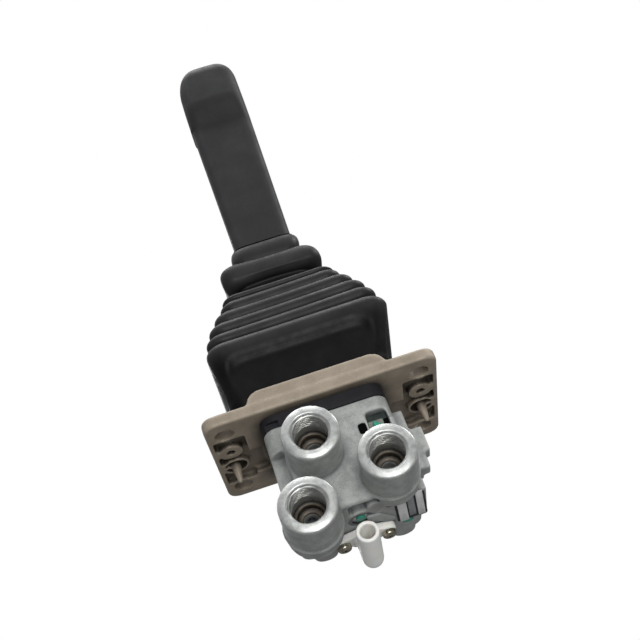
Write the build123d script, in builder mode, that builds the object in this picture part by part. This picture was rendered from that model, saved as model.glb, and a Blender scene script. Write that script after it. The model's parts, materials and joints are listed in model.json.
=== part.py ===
from build123d import *
import math
import os

# Single-axis lever pilot valve for panel mounting, in millimetres.
# The origin is the centre of the mounting plate's underside. +Z runs up the lever,
# +X along the plate's long side and -Y towards the three threaded ports.
# The lever rocks about X on a fixed pin. Its rocker works two spring-loaded plungers,
# and each plunger loads a pressure-reducing spool through a regulating spring.

# Mounting plate: a die casting with a collar for the boot and two retaining aprons.
plate_length = 104.6
plate_depth = 73.0
plate_thick = 5.5
plate_corner_r = 6.0
plate_edge_r = 1.0
panel_hole_inset_x = 8.3
panel_hole_inset_y = 10.5
panel_hole_r = 4.25
panel_hole_rim = 1.6
wing_pocket_length = 14.0
wing_pocket_width = 42.0
wing_pocket_depth = 3.4
wing_rib = 1.4
wing_margin = 2.2
wing_inner_length = 9.0
wing_inner_width = 23.0
wing_inner_x = 33.8
wing_inner_y = 6.0
wing_boss_r = 5.6
wing_boss_y = -9.0
pilot_hole_r = 1.9
pilot_hole_depth = 4.4
spike_y = 5.0
spike_length = 7.5
spike_base_r = 2.8
spike_tip_r = 1.2
spike_ring_r = 6.4
spike_ring_wall = 1.5
collar_length = 68.0
collar_depth = 60.0
collar_wall = 3.0
collar_corner_r = 6.0
collar_top = 12.0
apron_length = 63.0
apron_height = 5.6
apron_thick = 3.2
apron_corner_r = 6.5
apron_draft = 3.0

# Valve body casting, under the pivot housing's flange.
body_centre_x = -1.0
body_width = 55.0
body_front = 30.8
band_back = 28.0
body_back = 15.0
band_height = 11.5
body_bottom = -50.0
band_corner_r = 6.5
body_back_corner_r = 6.0
body_front_corner_r = 3.0
body_edge_r = 2.0
shoulder_width = 6.5
shoulder_depth = 7.3
side_lug_width = 5.0
side_lug_top = -11.0
side_step_width = 5.3
side_step_top = -21.0
side_lug_bottom = -40.0
side_step_bottom = -33.0
side_foot_width = 3.0
side_foot_setback = 1.0
side_lug_front = 20.0
side_lug_depth = 12.0
side_step_depth = 8.0
label_pad_width = 2.3
label_pad_height = 5.0
label_pad_front = 22.5
label_pad_depth = 27.0
rear_boss_r = 7.6
rear_lug_inset = 9.7
rear_lug_y = 16.5
rear_lug_r = 5.7
window_centre_x = 19.5
window_width = 9.0
window_top = -12.5
window_height = 12.5
window_depth = 8.3
slot_centre_x = 12.2
slot_width = 3.2
slot_top = -16.6
slot_height = 5.0
slot_depth = 4.0
pad_centre_x = 8.5
pad_centre_y = -20.0
pad_length = 11.0
pad_width = 8.0
core_pocket_length = 19.0
core_pocket_width = 13.5
core_pocket_depth = 4.0
core_pocket_x = 5.0
core_pocket_y = -21.3

# Three threaded ports on the front: supply, front outlet and rear outlet.
port_boss_r = 12.0
port_boss_length = 20.7
thread_minor_r = 7.25
thread_depth = 11.0
thread_chamfer = 1.3
seat_bore_r = 5.6
seat_bore_depth = 2.5
gallery_r = 2.5
cross_drill_r = 2.0
supply_x = -10.0
supply_z = -23.5
front_outlet_x = 16.4
front_outlet_z = -41.7
rear_outlet_x = -19.9
rear_outlet_z = -52.7
rear_cross_z = -43.5
riser_setback = 4.0
plug_r = 3.0
plug_depth = 2.8
seat_ring_bore_r = 3.6
seat_ring_thick = 1.6

# Pivot housing: a moulded block whose flange is clamped between plate and body.
flange_thick = 6.0
block_length = 49.0
block_depth = 38.0
block_corner_r = 4.0
block_top = 12.0
pivot_z = 20.0
ear_gap = 20.0
ear_thick = 6.0
ear_r = 7.0
recess_width = 8.0
recess_depth = 2.0

# Lever bearing, rocker and stem.
pin_r = 3.0
pin_overhang = 2.4
clip_thick = 1.0
clip_r = 5.0
clip_neck_r = 2.3
bush_r = 4.0
bush_gap = 3.0
hub_r = 6.0
pad_reach = 17.0
pad_thick = 5.0
side_clearance = 0.3
socket_r = 9.0
socket_height = 12.0
stem_r = 5.0
stem_top = 196.0
locknut_flats = 16.0
locknut_thick = 5.0

# Grip: a flat-faced paddle with a hooked head.
grip_bottom = 96.0
grip_top = 230.5
grip_foot_width = 28.2
grip_head_width = 32.2
grip_thick = 20.0
grip_hook = 5.5
grip_hook_bottom = 189.5
grip_hook_rise = 9.0
grip_edge_r = 4.0
grip_crown_left_r = 13.0
grip_crown_right_r = 10.5
grip_crown_side_r = 9.0

# Boot: one rubber moulding from the collar to the foot of the grip.
boot_wall = 2.2
boot_clearance = 0.3
boot_shoulder_z = 36.0
boot_shoulder_x = 42.0
boot_shoulder_y = 35.4
boot_shoulder_half = 3.5
boot_shoulder_drop = 0.5
rib_count = 4
rib_pitch = 6.95
rib_first_z = 45.4
rib_first_x = 40.1
rib_first_y = 33.0
rib_top_x = 29.9
rib_top_y = 23.0
rib_swell = 0.75
rib_flat = 3.0
rib_groove = 2.9
lip_z = 72.0
lip_x = 28.5
lip_y = 21.6
lip_flat = 1.8
lip_groove = 2.2
fold_z = 83.0
fold_x = 25.9
fold_y = 19.8
fold_flat = 5.0
fold_height = 16.6
fold_round = 3.2
fold_drop = 1.5
fold_groove = 5.2
neck_bead_z = 97.0
neck_bead_half = 2.6
neck_bead = 0.8
neck_crease_z = 91.4
boot_top = 103.0

# Plungers, spools and springs, one set in front of the pivot and one behind it.
plunger_offset = 12.0
plunger_r = 4.0
nose_gap = 0.3
guide_r = 6.0
guide_bottom = 2.0
guide_flange_r = 7.2
guide_flange_thick = 1.2
seal_thick = 3.0
running_gap = 0.05
fit_gap = 0.03
chamber_r = 7.0
chamber_floor = -20.5
seat_top = -6.0
seat_thick = 2.5
seat_r = 6.5
seat_spigot_r = 3.0
seat_spigot_length = 2.0
spool_top = -17.5
spool_head_r = 5.5
spool_head_thick = 1.5
spool_r = 4.0
spool_groove_r = 2.9
spool_groove_length = 4.6
spool_shoulder = -39.3
spool_tail_r = 2.2
spool_tail_length = 3.0
spool_bore_end = -39.0
spool_core_r = 1.1
metering_groove_z = -33.5
metering_groove_length = 3.0
cap_chamber_r = 5.5
cap_thick = 3.6
cap_ring_thick = 1.0
cap_ring_setback = 0.4
cap_ring_lip = 0.5
cap_ring_width = 1.8
cap_groove_depth = 1.1
cap_groove_width = 1.6
regulating_wire_r = 0.55
regulating_coil_r = 4.6
regulating_turns = 3
return_wire_r = 0.4
return_coil_r = 3.1
return_turns = 4
spring_end_gap = 0.1
spring_wire_sides = 6

# Seals, fasteners and the vent.
chamber_seal_r = 8.9
chamber_seal_wire_r = 0.8
body_screw_x = 20.0
body_screw_y = 23.2
body_screw_r = 2.0
body_screw_head_r = 3.5
body_screw_head = 4.0
body_screw_length = 18.0
body_screw_seat = 2.0
body_screw_socket = 3.0
body_screw_clearance = 0.3
vent_y = 1.0
vent_tube_r = 4.9
vent_bore_r = 3.2
vent_axis_z = -60.4
vent_drop = 3.0
vent_mouth = 25.0
vent_flange_thick = 3.6
vent_flange_r = 6.2
vent_ear_r = 3.5
vent_ear_span = 20.0
vent_seal_r = 4.4
vent_seal_wire_r = 0.7
vent_screw_r = 1.5
vent_screw_length = 9.0
vent_screw_head_r = 3.1
vent_screw_head = 2.4
vent_screw_recess = 1.2
vent_passage_top = -12.0
core_plug_r = 2.0
core_plug_length = 2.0
core_plug_x = 20.0
core_plug_y = 5.0

# Levels and places that follow from the sizes above.
body_top = -flange_thick
band_bottom = body_top - band_height
mouth = body_front + port_boss_length
port_floor = mouth - thread_depth - seat_bore_depth
panel_hole_span_x = plate_length - 2 * panel_hole_inset_x
panel_hole_span_y = plate_depth - 2 * panel_hole_inset_y
panel_hole_x = panel_hole_span_x / 2
wing_x = plate_length / 2 - wing_margin - wing_pocket_length / 2
riser_y = body_front - riser_setback
elbow_z = vent_axis_z - vent_drop
ear_outer = ear_gap / 2 + ear_thick
rocker_half = ear_gap / 2 - side_clearance
rocker_underside = pivot_z + plunger_r + nose_gap
rocker_top = rocker_underside + pad_thick
socket_top = rocker_top + socket_height
plunger_bottom = seat_top
cap_bottom = body_bottom + cap_ring_setback + cap_ring_thick
cap_top = cap_bottom + cap_thick
plungers_y = (-plunger_offset, plunger_offset)
body_left = body_centre_x - body_width / 2
body_right = body_centre_x + body_width / 2
rear_lug_x = body_width / 2 - rear_lug_inset
ports = (
    (supply_x, supply_z),
    (front_outlet_x, front_outlet_z),
    (rear_outlet_x, rear_outlet_z),
)
upright = (Align.CENTER, Align.CENTER, Align.MIN)
downward = (Align.CENTER, Align.CENTER, Align.MAX)

os.makedirs("parts", exist_ok=True)


def keep(piece, name):
    """Label a finished piece and write it as its own STEP file."""
    piece.part.label = name
    export_step(piece.part, f"parts/{name}.step")


def along_y(x, z, front):
    """Location on the plane y = -front whose local +Z points to the rear."""
    return Location((x, -front, z), (-90, 0, 0))


def along_x(x, y, z):
    """Location whose local +Z points along +X."""
    return Location((x, y, z), (0, 90, 0))


# Mounting plate
with BuildPart() as mounting_plate:
    with BuildSketch():
        RectangleRounded(plate_length, plate_depth, plate_corner_r)
    extrude(amount=plate_thick)
    fillet(mounting_plate.edges().group_by(Axis.Z)[-1], plate_edge_r)
    fillet(mounting_plate.edges().group_by(Axis.Z)[0], plate_edge_r / 2)
    with BuildSketch(Plane.XY.offset(plate_thick)):
        RectangleRounded(collar_length, collar_depth, collar_corner_r)
        RectangleRounded(
            collar_length - 2 * collar_wall,
            collar_depth - 2 * collar_wall,
            collar_corner_r - collar_wall,
            mode=Mode.SUBTRACT,
        )
    extrude(amount=collar_top - plate_thick)
    # The aprons stand outside the boot's lip, in front of it and behind it.
    apron_inner = collar_depth / 2 + 2 * boot_clearance + boot_wall
    for side in (1, -1):
        with BuildSketch(Plane.XZ.offset(side * apron_inner)) as apron:
            with BuildLine():
                Polyline(
                    (-apron_length / 2, 0),
                    (apron_length / 2, 0),
                    (apron_length / 2, plate_thick),
                    (apron_length / 2 - apron_draft, plate_thick + apron_height),
                    (-apron_length / 2 + apron_draft, plate_thick + apron_height),
                    (-apron_length / 2, plate_thick),
                    close=True,
                )
            make_face()
            fillet(apron.vertices().group_by(Axis.Y)[-1], apron_corner_r)
        extrude(amount=side * apron_thick)
    # Opening for the pivot housing's block.
    with BuildSketch():
        RectangleRounded(
            block_length + 2 * side_clearance,
            block_depth + 2 * side_clearance,
            block_corner_r,
        )
    extrude(amount=plate_thick, mode=Mode.SUBTRACT)
    # Cored pockets under both wings, left open between bosses and ribs.
    with BuildSketch():
        with Locations((-wing_x, 0), (wing_x, 0)):
            RectangleRounded(wing_pocket_length, wing_pocket_width, wing_rib)
        with Locations((-wing_inner_x, wing_inner_y), (wing_inner_x, wing_inner_y)):
            RectangleRounded(wing_inner_length, wing_inner_width, wing_rib)
        with GridLocations(panel_hole_span_x, panel_hole_span_y, 2, 2):
            Circle(panel_hole_r + panel_hole_rim, mode=Mode.SUBTRACT)
        with Locations((-panel_hole_x, wing_boss_y), (panel_hole_x, wing_boss_y)):
            Circle(wing_boss_r, mode=Mode.SUBTRACT)
        with Locations((-panel_hole_x, spike_y), (panel_hole_x, spike_y)):
            Circle(spike_ring_r, mode=Mode.SUBTRACT)
            Circle(spike_ring_r - spike_ring_wall)
        for y in (wing_boss_y, spike_y):
            with Locations((-plate_length / 2, y), (plate_length / 2, y)):
                Rectangle(wing_pocket_length, wing_rib, mode=Mode.SUBTRACT)
    extrude(amount=wing_pocket_depth, mode=Mode.SUBTRACT)
    with GridLocations(panel_hole_span_x, panel_hole_span_y, 2, 2):
        Hole(panel_hole_r)
    with Locations((-panel_hole_x, wing_boss_y), (panel_hole_x, wing_boss_y)):
        Cylinder(pilot_hole_r, pilot_hole_depth, align=upright, mode=Mode.SUBTRACT)
    with GridLocations(2 * body_screw_x, 2 * body_screw_y, 2, 2):
        Hole(body_screw_r + running_gap)
    with Locations(Plane.XY.offset(body_screw_seat)):
        with GridLocations(2 * body_screw_x, 2 * body_screw_y, 2, 2):
            Cylinder(
                body_screw_head_r + body_screw_clearance,
                plate_thick,
                align=upright,
                mode=Mode.SUBTRACT,
            )
    # Locating spikes that stand down out of the wings.
    with Locations(
        (-panel_hole_x, spike_y, wing_pocket_depth),
        (panel_hole_x, spike_y, wing_pocket_depth),
    ):
        Cone(
            spike_base_r,
            spike_tip_r,
            spike_length + wing_pocket_depth,
            rotation=(180, 0, 0),
            align=upright,
        )
    with Locations((-panel_hole_x, spike_y, 0), (panel_hole_x, spike_y, 0)):
        with Locations((0, 0, -spike_length)):
            Sphere(spike_tip_r)
keep(mounting_plate, "mounting_plate")

# Pivot housing
with BuildPart() as pivot_housing:
    with BuildSketch(Plane.XY.offset(body_top)):
        with Locations((body_centre_x, (band_back - body_front) / 2)):
            RectangleRounded(body_width, body_front + band_back, band_corner_r)
    extrude(amount=flange_thick)
    with BuildSketch():
        RectangleRounded(block_length, block_depth, block_corner_r)
    extrude(amount=block_top)
    for side in (1, -1):
        with BuildSketch(Plane.YZ.offset(side * ear_gap / 2)):
            with Locations((0, pivot_z)):
                Circle(ear_r)
            with Locations((0, (block_top + pivot_z) / 2)):
                Rectangle(2 * ear_r, pivot_z - block_top)
        extrude(amount=side * ear_thick)
    # Side recess in the flange's left front corner.
    with Locations((body_left + recess_width / 2, -body_front, body_top)):
        Box(
            recess_width,
            2 * recess_depth,
            flange_thick / 2,
            align=upright,
            mode=Mode.SUBTRACT,
        )
    with Locations(along_x(-ear_outer, 0, pivot_z)):
        Cylinder(pin_r + fit_gap, 2 * ear_outer, align=upright, mode=Mode.SUBTRACT)
    with Locations((0, -plunger_offset, 0), (0, plunger_offset, 0)):
        Hole(guide_r)
    with Locations((0, -plunger_offset, body_top), (0, plunger_offset, body_top)):
        Cylinder(
            chamber_r,
            guide_bottom - seal_thick - body_top,
            align=upright,
            mode=Mode.SUBTRACT,
        )
    with GridLocations(2 * body_screw_x, 2 * body_screw_y, 2, 2):
        Hole(body_screw_r + running_gap)
keep(pivot_housing, "pivot_housing")

# Valve body
with BuildPart() as valve_body:
    with BuildSketch(Plane.XY.offset(body_bottom)) as lower_plan:
        with Locations((body_centre_x, (body_back - body_front) / 2)):
            Rectangle(body_width, body_front + body_back)
        fillet(lower_plan.vertices().group_by(Axis.Y)[-1], body_back_corner_r)
        fillet(lower_plan.vertices().group_by(Axis.Y)[0], body_front_corner_r)
        with Locations((0, plunger_offset)):
            Circle(rear_boss_r)
        with Locations((-rear_lug_x, rear_lug_y), (rear_lug_x, rear_lug_y)):
            Circle(rear_lug_r)
    extrude(amount=band_bottom - body_bottom)
    fillet(valve_body.edges().group_by(Axis.Z)[0], body_edge_r)
    with Locations((body_left, -body_front, band_bottom)):
        Box(
            2 * shoulder_width,
            2 * shoulder_depth,
            band_bottom - body_bottom,
            align=downward,
            mode=Mode.SUBTRACT,
        )
    with BuildSketch(Plane.XY.offset(band_bottom)):
        with Locations((body_centre_x, (band_back - body_front) / 2)):
            RectangleRounded(body_width, body_front + band_back, band_corner_r)
    extrude(amount=band_height)
    # Side lug and its stepped end.
    with BuildSketch(Plane.XZ.offset(side_lug_front)):
        with Locations((body_right, side_lug_top)):
            Rectangle(
                2 * side_lug_width,
                side_lug_top - side_lug_bottom,
                align=(Align.CENTER, Align.MAX),
            )
    extrude(amount=-side_lug_depth)
    with BuildSketch(Plane.XZ.offset(side_lug_front)):
        with Locations((body_right + side_lug_width, side_step_top)):
            Rectangle(
                2 * side_step_width,
                side_step_top - side_step_bottom,
                align=(Align.CENTER, Align.MAX),
            )
    extrude(amount=-side_step_depth)
    with BuildSketch(Plane.XZ.offset(side_lug_front - side_foot_setback)):
        with Locations((body_right + side_lug_width, side_step_bottom)):
            Rectangle(
                2 * side_foot_width,
                side_step_bottom - side_lug_bottom,
                align=(Align.CENTER, Align.MAX),
            )
    extrude(amount=side_foot_setback - side_step_depth)
    # Pad that widens the underside's right edge for the labels.
    with Locations((body_right, -label_pad_front, body_bottom)):
        Box(
            2 * label_pad_width,
            label_pad_depth,
            label_pad_height,
            align=(Align.CENTER, Align.MIN, Align.MIN),
        )
    # Port bosses.
    for x, z in ports:
        with Locations(along_y(x, z, mouth)):
            Cylinder(port_boss_r, mouth - body_front + shoulder_depth + 1, align=upright)
    # Cored pocket in the underside, round an oval pad.
    with BuildSketch(Plane.XY.offset(body_bottom)):
        with Locations((core_pocket_x, core_pocket_y)):
            RectangleRounded(core_pocket_length, core_pocket_width, body_edge_r)
        with Locations((pad_centre_x, pad_centre_y)):
            SlotOverall(pad_length, pad_width, mode=Mode.SUBTRACT)
        with Locations((0, -plunger_offset)):
            Circle(cap_chamber_r + cap_ring_lip + 1.5, mode=Mode.SUBTRACT)
    extrude(amount=core_pocket_depth, mode=Mode.SUBTRACT)
    # Window and slot in the front face.
    with Locations((window_centre_x, -body_front, window_top)):
        Box(
            window_width,
            2 * window_depth,
            window_height,
            align=downward,
            mode=Mode.SUBTRACT,
        )
    with Locations((slot_centre_x, -body_front, slot_top)):
        Box(slot_width, 2 * slot_depth, slot_height, align=downward, mode=Mode.SUBTRACT)
    # Stepped cartridge bores.
    with Locations((0, -plunger_offset, body_top), (0, plunger_offset, body_top)):
        Cylinder(chamber_r, body_top - chamber_floor, align=downward, mode=Mode.SUBTRACT)
        Cylinder(spool_r, body_top - spool_bore_end, align=downward, mode=Mode.SUBTRACT)
    with Locations((0, -plunger_offset, body_bottom), (0, plunger_offset, body_bottom)):
        Cylinder(
            cap_chamber_r,
            spool_bore_end - body_bottom,
            align=upright,
            mode=Mode.SUBTRACT,
        )
    ring_z = body_bottom + cap_ring_setback
    with Locations((0, -plunger_offset, ring_z), (0, plunger_offset, ring_z)):
        Cylinder(
            cap_chamber_r + cap_ring_lip,
            cap_ring_thick,
            align=upright,
            mode=Mode.SUBTRACT,
        )
    # Seal grooves round the two chambers.
    with BuildSketch(Plane.XY.offset(body_top)):
        with Locations((0, -plunger_offset), (0, plunger_offset)):
            Circle(chamber_seal_r + chamber_seal_wire_r)
            Circle(chamber_seal_r - chamber_seal_wire_r, mode=Mode.SUBTRACT)
    extrude(amount=-2 * chamber_seal_wire_r, mode=Mode.SUBTRACT)
    # Vent: a passage between the chambers and down to the elbow.
    with Locations((0, 0, vent_passage_top)):
        Box(
            2 * vent_bore_r,
            2 * plunger_offset - chamber_r,
            2 * vent_bore_r,
            align=downward,
            mode=Mode.SUBTRACT,
        )
    with Locations((0, vent_y, body_bottom)):
        Cylinder(
            vent_bore_r,
            vent_passage_top - vent_bore_r - body_bottom,
            align=upright,
            mode=Mode.SUBTRACT,
        )
    # Ports: entry chamfer, thread minor bore, seat bore and drilled gallery.
    gallery_ends = (plunger_offset, -plunger_offset, -riser_y)
    for (x, z), end in zip(ports, gallery_ends):
        with Locations(along_y(x, z, mouth)):
            Cylinder(thread_minor_r, thread_depth, align=upright, mode=Mode.SUBTRACT)
            Cone(
                thread_minor_r + thread_chamfer,
                thread_minor_r,
                thread_chamfer,
                align=upright,
                mode=Mode.SUBTRACT,
            )
            Cylinder(
                seat_bore_r,
                thread_depth + seat_bore_depth,
                align=upright,
                mode=Mode.SUBTRACT,
            )
            Cylinder(gallery_r, mouth + end, align=upright, mode=Mode.SUBTRACT)
    # Cross drillings from the side walls, each closed by a plug.
    for y in plungers_y:
        with Locations(along_x(body_left, y, supply_z)):
            Cylinder(cross_drill_r, -body_left, align=upright, mode=Mode.SUBTRACT)
            Cylinder(plug_r, plug_depth, align=upright, mode=Mode.SUBTRACT)
    with Locations(along_x(body_left, plunger_offset, rear_cross_z)):
        Cylinder(cross_drill_r, -body_left, align=upright, mode=Mode.SUBTRACT)
        Cylinder(plug_r, plug_depth, align=upright, mode=Mode.SUBTRACT)
    with Locations(along_x(body_right, -plunger_offset, front_outlet_z)):
        Cylinder(cross_drill_r, body_right, align=downward, mode=Mode.SUBTRACT)
        Cylinder(plug_r, plug_depth, align=downward, mode=Mode.SUBTRACT)
    # Rear outlet: a riser into the body, then a gallery drilled in from the back.
    rear_lug_back = rear_lug_y + rear_lug_r
    with Locations((rear_outlet_x, -riser_y, rear_outlet_z)):
        Cylinder(
            cross_drill_r,
            rear_cross_z - rear_outlet_z,
            align=upright,
            mode=Mode.SUBTRACT,
        )
    with Locations(along_y(rear_outlet_x, rear_cross_z, -rear_lug_back)):
        Cylinder(
            gallery_r,
            riser_y + rear_lug_back,
            align=downward,
            mode=Mode.SUBTRACT,
        )
        Cylinder(plug_r, 2 * plug_depth, align=downward, mode=Mode.SUBTRACT)
    # Threaded holes for the body screws and the elbow's screws.
    with Locations(Plane.XY.offset(body_top)):
        with GridLocations(2 * body_screw_x, 2 * body_screw_y, 2, 2):
            Cylinder(
                body_screw_r + fit_gap,
                body_screw_length + body_top,
                align=downward,
                mode=Mode.SUBTRACT,
            )
    with Locations(
        (-vent_ear_span / 2, vent_y, body_bottom),
        (vent_ear_span / 2, vent_y, body_bottom),
    ):
        Cylinder(
            vent_screw_r + fit_gap,
            vent_screw_length,
            align=upright,
            mode=Mode.SUBTRACT,
        )
    with Locations((core_plug_x, core_plug_y, body_bottom)):
        Cylinder(
            core_plug_r + fit_gap,
            core_plug_length,
            align=upright,
            mode=Mode.SUBTRACT,
        )
keep(valve_body, "valve_body")

# Pivot pin and its two retaining clips
with BuildPart() as pivot_pin:
    with Locations(along_x(-ear_outer - pin_overhang, 0, pivot_z)):
        Cylinder(pin_r, 2 * (ear_outer + pin_overhang), align=upright)
    chamfer(pivot_pin.edges(), 0.5)
    for side in (1, -1):
        with BuildSketch(Plane.YZ.offset(side * (ear_outer + fit_gap))):
            with Locations((0, pivot_z)):
                Circle(pin_r + clip_thick)
                Circle(clip_neck_r, mode=Mode.SUBTRACT)
        extrude(amount=side * (clip_thick + fit_gap), mode=Mode.SUBTRACT)
keep(pivot_pin, "pivot_pin")

with BuildPart() as pin_clips:
    for side in (1, -1):
        with BuildSketch(Plane.YZ.offset(side * (ear_outer + 1.5 * fit_gap))):
            with Locations((0, pivot_z)):
                Circle(clip_r)
                Circle(clip_neck_r + fit_gap, mode=Mode.SUBTRACT)
            with Locations((0, pivot_z - clip_r)):
                Rectangle(1.6 * clip_neck_r, 2 * clip_r, mode=Mode.SUBTRACT)
        extrude(amount=side * clip_thick)
keep(pin_clips, "pin_clips")

# Rocker: hub round the pin, pressing plate over both plungers and a stem socket
with BuildPart() as rocker:
    with BuildSketch(Plane.XY.offset(rocker_underside)):
        RectangleRounded(2 * rocker_half, 2 * pad_reach, 4)
    extrude(amount=pad_thick)
    with Locations(along_x(-rocker_half, 0, pivot_z)):
        Cylinder(hub_r, 2 * rocker_half, align=upright)
    with Locations((0, 0, rocker_top)):
        Cylinder(socket_r, socket_height, align=upright)
    chamfer(rocker.edges().group_by(Axis.Z)[-1], 1)
    with Locations(along_x(-rocker_half, 0, pivot_z)):
        Cylinder(bush_r, 2 * rocker_half, align=upright, mode=Mode.SUBTRACT)
    with Locations((0, 0, rocker_top)):
        Cylinder(stem_r + fit_gap, socket_height, align=upright, mode=Mode.SUBTRACT)
keep(rocker, "rocker")

with BuildPart() as rocker_bushes:
    for side in (1, -1):
        with BuildSketch(Plane.YZ.offset(side * bush_gap / 2)):
            with Locations((0, pivot_z)):
                Circle(bush_r - fit_gap)
                Circle(pin_r + running_gap, mode=Mode.SUBTRACT)
        extrude(amount=side * (rocker_half - bush_gap / 2))
keep(rocker_bushes, "rocker_bushes")

with BuildPart() as lever_stem:
    with Locations((0, 0, rocker_top + fit_gap)):
        Cylinder(stem_r, stem_top - rocker_top - fit_gap, align=upright)
    chamfer(lever_stem.edges(), 0.8)
keep(lever_stem, "lever_stem")


def hex_nut(bottom):
    """Hexagon nut on the stem, standing on the level given."""
    with BuildPart() as nut:
        with BuildSketch(Plane.XY.offset(bottom)):
            RegularPolygon(locknut_flats / 2, 6, major_radius=False)
            Circle(stem_r + fit_gap, mode=Mode.SUBTRACT)
        extrude(amount=locknut_thick)
    return nut


stem_locknut = hex_nut(socket_top + fit_gap)
keep(stem_locknut, "stem_locknut")
grip_locknut = hex_nut(grip_bottom - locknut_thick - fit_gap)
keep(grip_locknut, "grip_locknut")

# Grip: the front outline run through the side outline, then rounded all round
with BuildPart() as grip:
    with BuildSketch(Plane.XZ.offset(grip_thick * 2)) as front_outline:
        with BuildLine():
            Polyline(
                (-grip_foot_width / 2, grip_bottom),
                (grip_foot_width / 2, grip_bottom),
                (grip_head_width / 2, grip_hook_bottom),
                (grip_head_width / 2, grip_top),
                (-grip_head_width / 2, grip_top),
                (-grip_head_width / 2, grip_hook_bottom),
                close=True,
            )
        make_face()
        crown = front_outline.vertices().group_by(Axis.Y)[-1].sort_by(Axis.X)
        fillet(crown[0], grip_crown_left_r)
        crown = front_outline.vertices().group_by(Axis.Y)[-1].sort_by(Axis.X)
        fillet(crown[-1], grip_crown_right_r)
    extrude(amount=-grip_thick * 4)
    with BuildSketch(Plane.YZ.offset(-grip_head_width)) as side_outline:
        with BuildLine():
            Polyline(
                (-grip_thick / 2, grip_bottom),
                (grip_thick / 2, grip_bottom),
                (grip_thick / 2, grip_top),
                (-grip_thick / 2 - grip_hook, grip_top),
                (-grip_thick / 2 - grip_hook, grip_hook_bottom + grip_hook_rise),
                (-grip_thick / 2, grip_hook_bottom),
                close=True,
            )
        make_face()
        fillet(side_outline.vertices().group_by(Axis.Y)[-1], grip_crown_side_r)
    extrude(amount=2 * grip_head_width, mode=Mode.INTERSECT)
    rounded = grip.edges().filter_by(lambda edge: edge.center().Z > grip_bottom + 1)
    fillet(rounded, grip_edge_r)
    with Locations((0, 0, grip_bottom)):
        Cylinder(
            stem_r + fit_gap,
            stem_top + fit_gap - grip_bottom,
            align=upright,
            mode=Mode.SUBTRACT,
        )
keep(grip, "grip")


def boot_sections():
    """Half sizes of the boot's outside from the plate up, as (z, half x, half y)."""
    foot_x = collar_length / 2 + boot_clearance + boot_wall
    foot_y = collar_depth / 2 + boot_clearance + boot_wall
    sections = [(plate_thick + fit_gap, foot_x, foot_y), (collar_top, foot_x, foot_y)]
    for step, drop in ((-boot_shoulder_half, boot_shoulder_drop), (0, 0), (1, 0)):
        z = boot_shoulder_z + step
        sections.append((z, boot_shoulder_x - drop, boot_shoulder_y - drop))
    for i in range(rib_count):
        share = i / (rib_count - 1)
        swell = rib_swell * 4 * share * (1 - share)
        z = rib_first_z + i * rib_pitch
        x = rib_first_x + (rib_top_x - rib_first_x) * share + swell
        y = rib_first_y + (rib_top_y - rib_first_y) * share + swell
        sections.append((z - rib_pitch / 2, x - rib_groove, y - rib_groove))
        sections.append((z - rib_flat / 2, x, y))
        sections.append((z + rib_flat / 2, x, y))
    last_z = rib_first_z + (rib_count - 1) * rib_pitch
    crease_z = (last_z + rib_flat / 2 + lip_z - lip_flat / 2) / 2
    sections.append((crease_z, lip_x - lip_groove, lip_y - lip_groove))
    sections.append((lip_z - lip_flat / 2, lip_x, lip_y))
    sections.append((lip_z + lip_flat / 2, lip_x, lip_y))
    fold = (
        (-fold_height / 2, fold_groove),
        (-fold_flat / 2 - fold_round, fold_drop),
        (-fold_flat / 2, 0),
        (fold_flat / 2, 0),
        (fold_flat / 2 + fold_round, fold_drop),
    )
    for step, drop in fold:
        sections.append((fold_z + step, fold_x - drop, fold_y - drop))
    neck_x = grip_foot_width / 2 + boot_clearance + boot_wall
    neck_y = grip_thick / 2 + boot_clearance + boot_wall
    sections.append((neck_crease_z, neck_x - neck_bead, neck_y - neck_bead))
    for step in (-neck_bead_half, neck_bead_half):
        z = neck_bead_z + step
        sections.append((z, neck_x + neck_bead, neck_y + neck_bead))
    sections.append((boot_top, neck_x, neck_y))
    return sections


def boot_corner_r(z):
    """Outside corner radius, blending from the collar's corner to the grip's."""
    foot_r = collar_corner_r + boot_clearance + boot_wall
    neck_r = grip_edge_r + boot_clearance + boot_wall
    return foot_r + (neck_r - foot_r) * (z - plate_thick) / (boot_top - plate_thick)


# Boot
with BuildPart() as boot:
    for z, half_x, half_y in boot_sections():
        with BuildSketch(Plane.XY.offset(z)):
            RectangleRounded(2 * half_x, 2 * half_y, boot_corner_r(z))
    loft(ruled=True)
    for z, half_x, half_y in boot_sections():
        with BuildSketch(Plane.XY.offset(z)):
            RectangleRounded(
                2 * (half_x - boot_wall),
                2 * (half_y - boot_wall),
                boot_corner_r(z) - boot_wall,
            )
    loft(ruled=True, mode=Mode.SUBTRACT)
keep(boot, "boot")

# Plunger guides and seals, in the pivot housing
with BuildPart() as plunger_guides:
    for y in plungers_y:
        with BuildSketch(Plane.XY.offset(guide_bottom)):
            with Locations((0, y)):
                Circle(guide_r - fit_gap)
                Circle(plunger_r + running_gap, mode=Mode.SUBTRACT)
        extrude(amount=block_top + fit_gap - guide_bottom)
        with BuildSketch(Plane.XY.offset(block_top + fit_gap)):
            with Locations((0, y)):
                Circle(guide_flange_r)
                Circle(plunger_r + running_gap, mode=Mode.SUBTRACT)
        extrude(amount=guide_flange_thick)
keep(plunger_guides, "plunger_guides")

with BuildPart() as plunger_seals:
    for y in plungers_y:
        with BuildSketch(Plane.XY.offset(guide_bottom - seal_thick)):
            with Locations((0, y)):
                Circle(guide_r - fit_gap)
                Circle(plunger_r + running_gap, mode=Mode.SUBTRACT)
        extrude(amount=seal_thick - fit_gap)
keep(plunger_seals, "plunger_seals")



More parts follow.
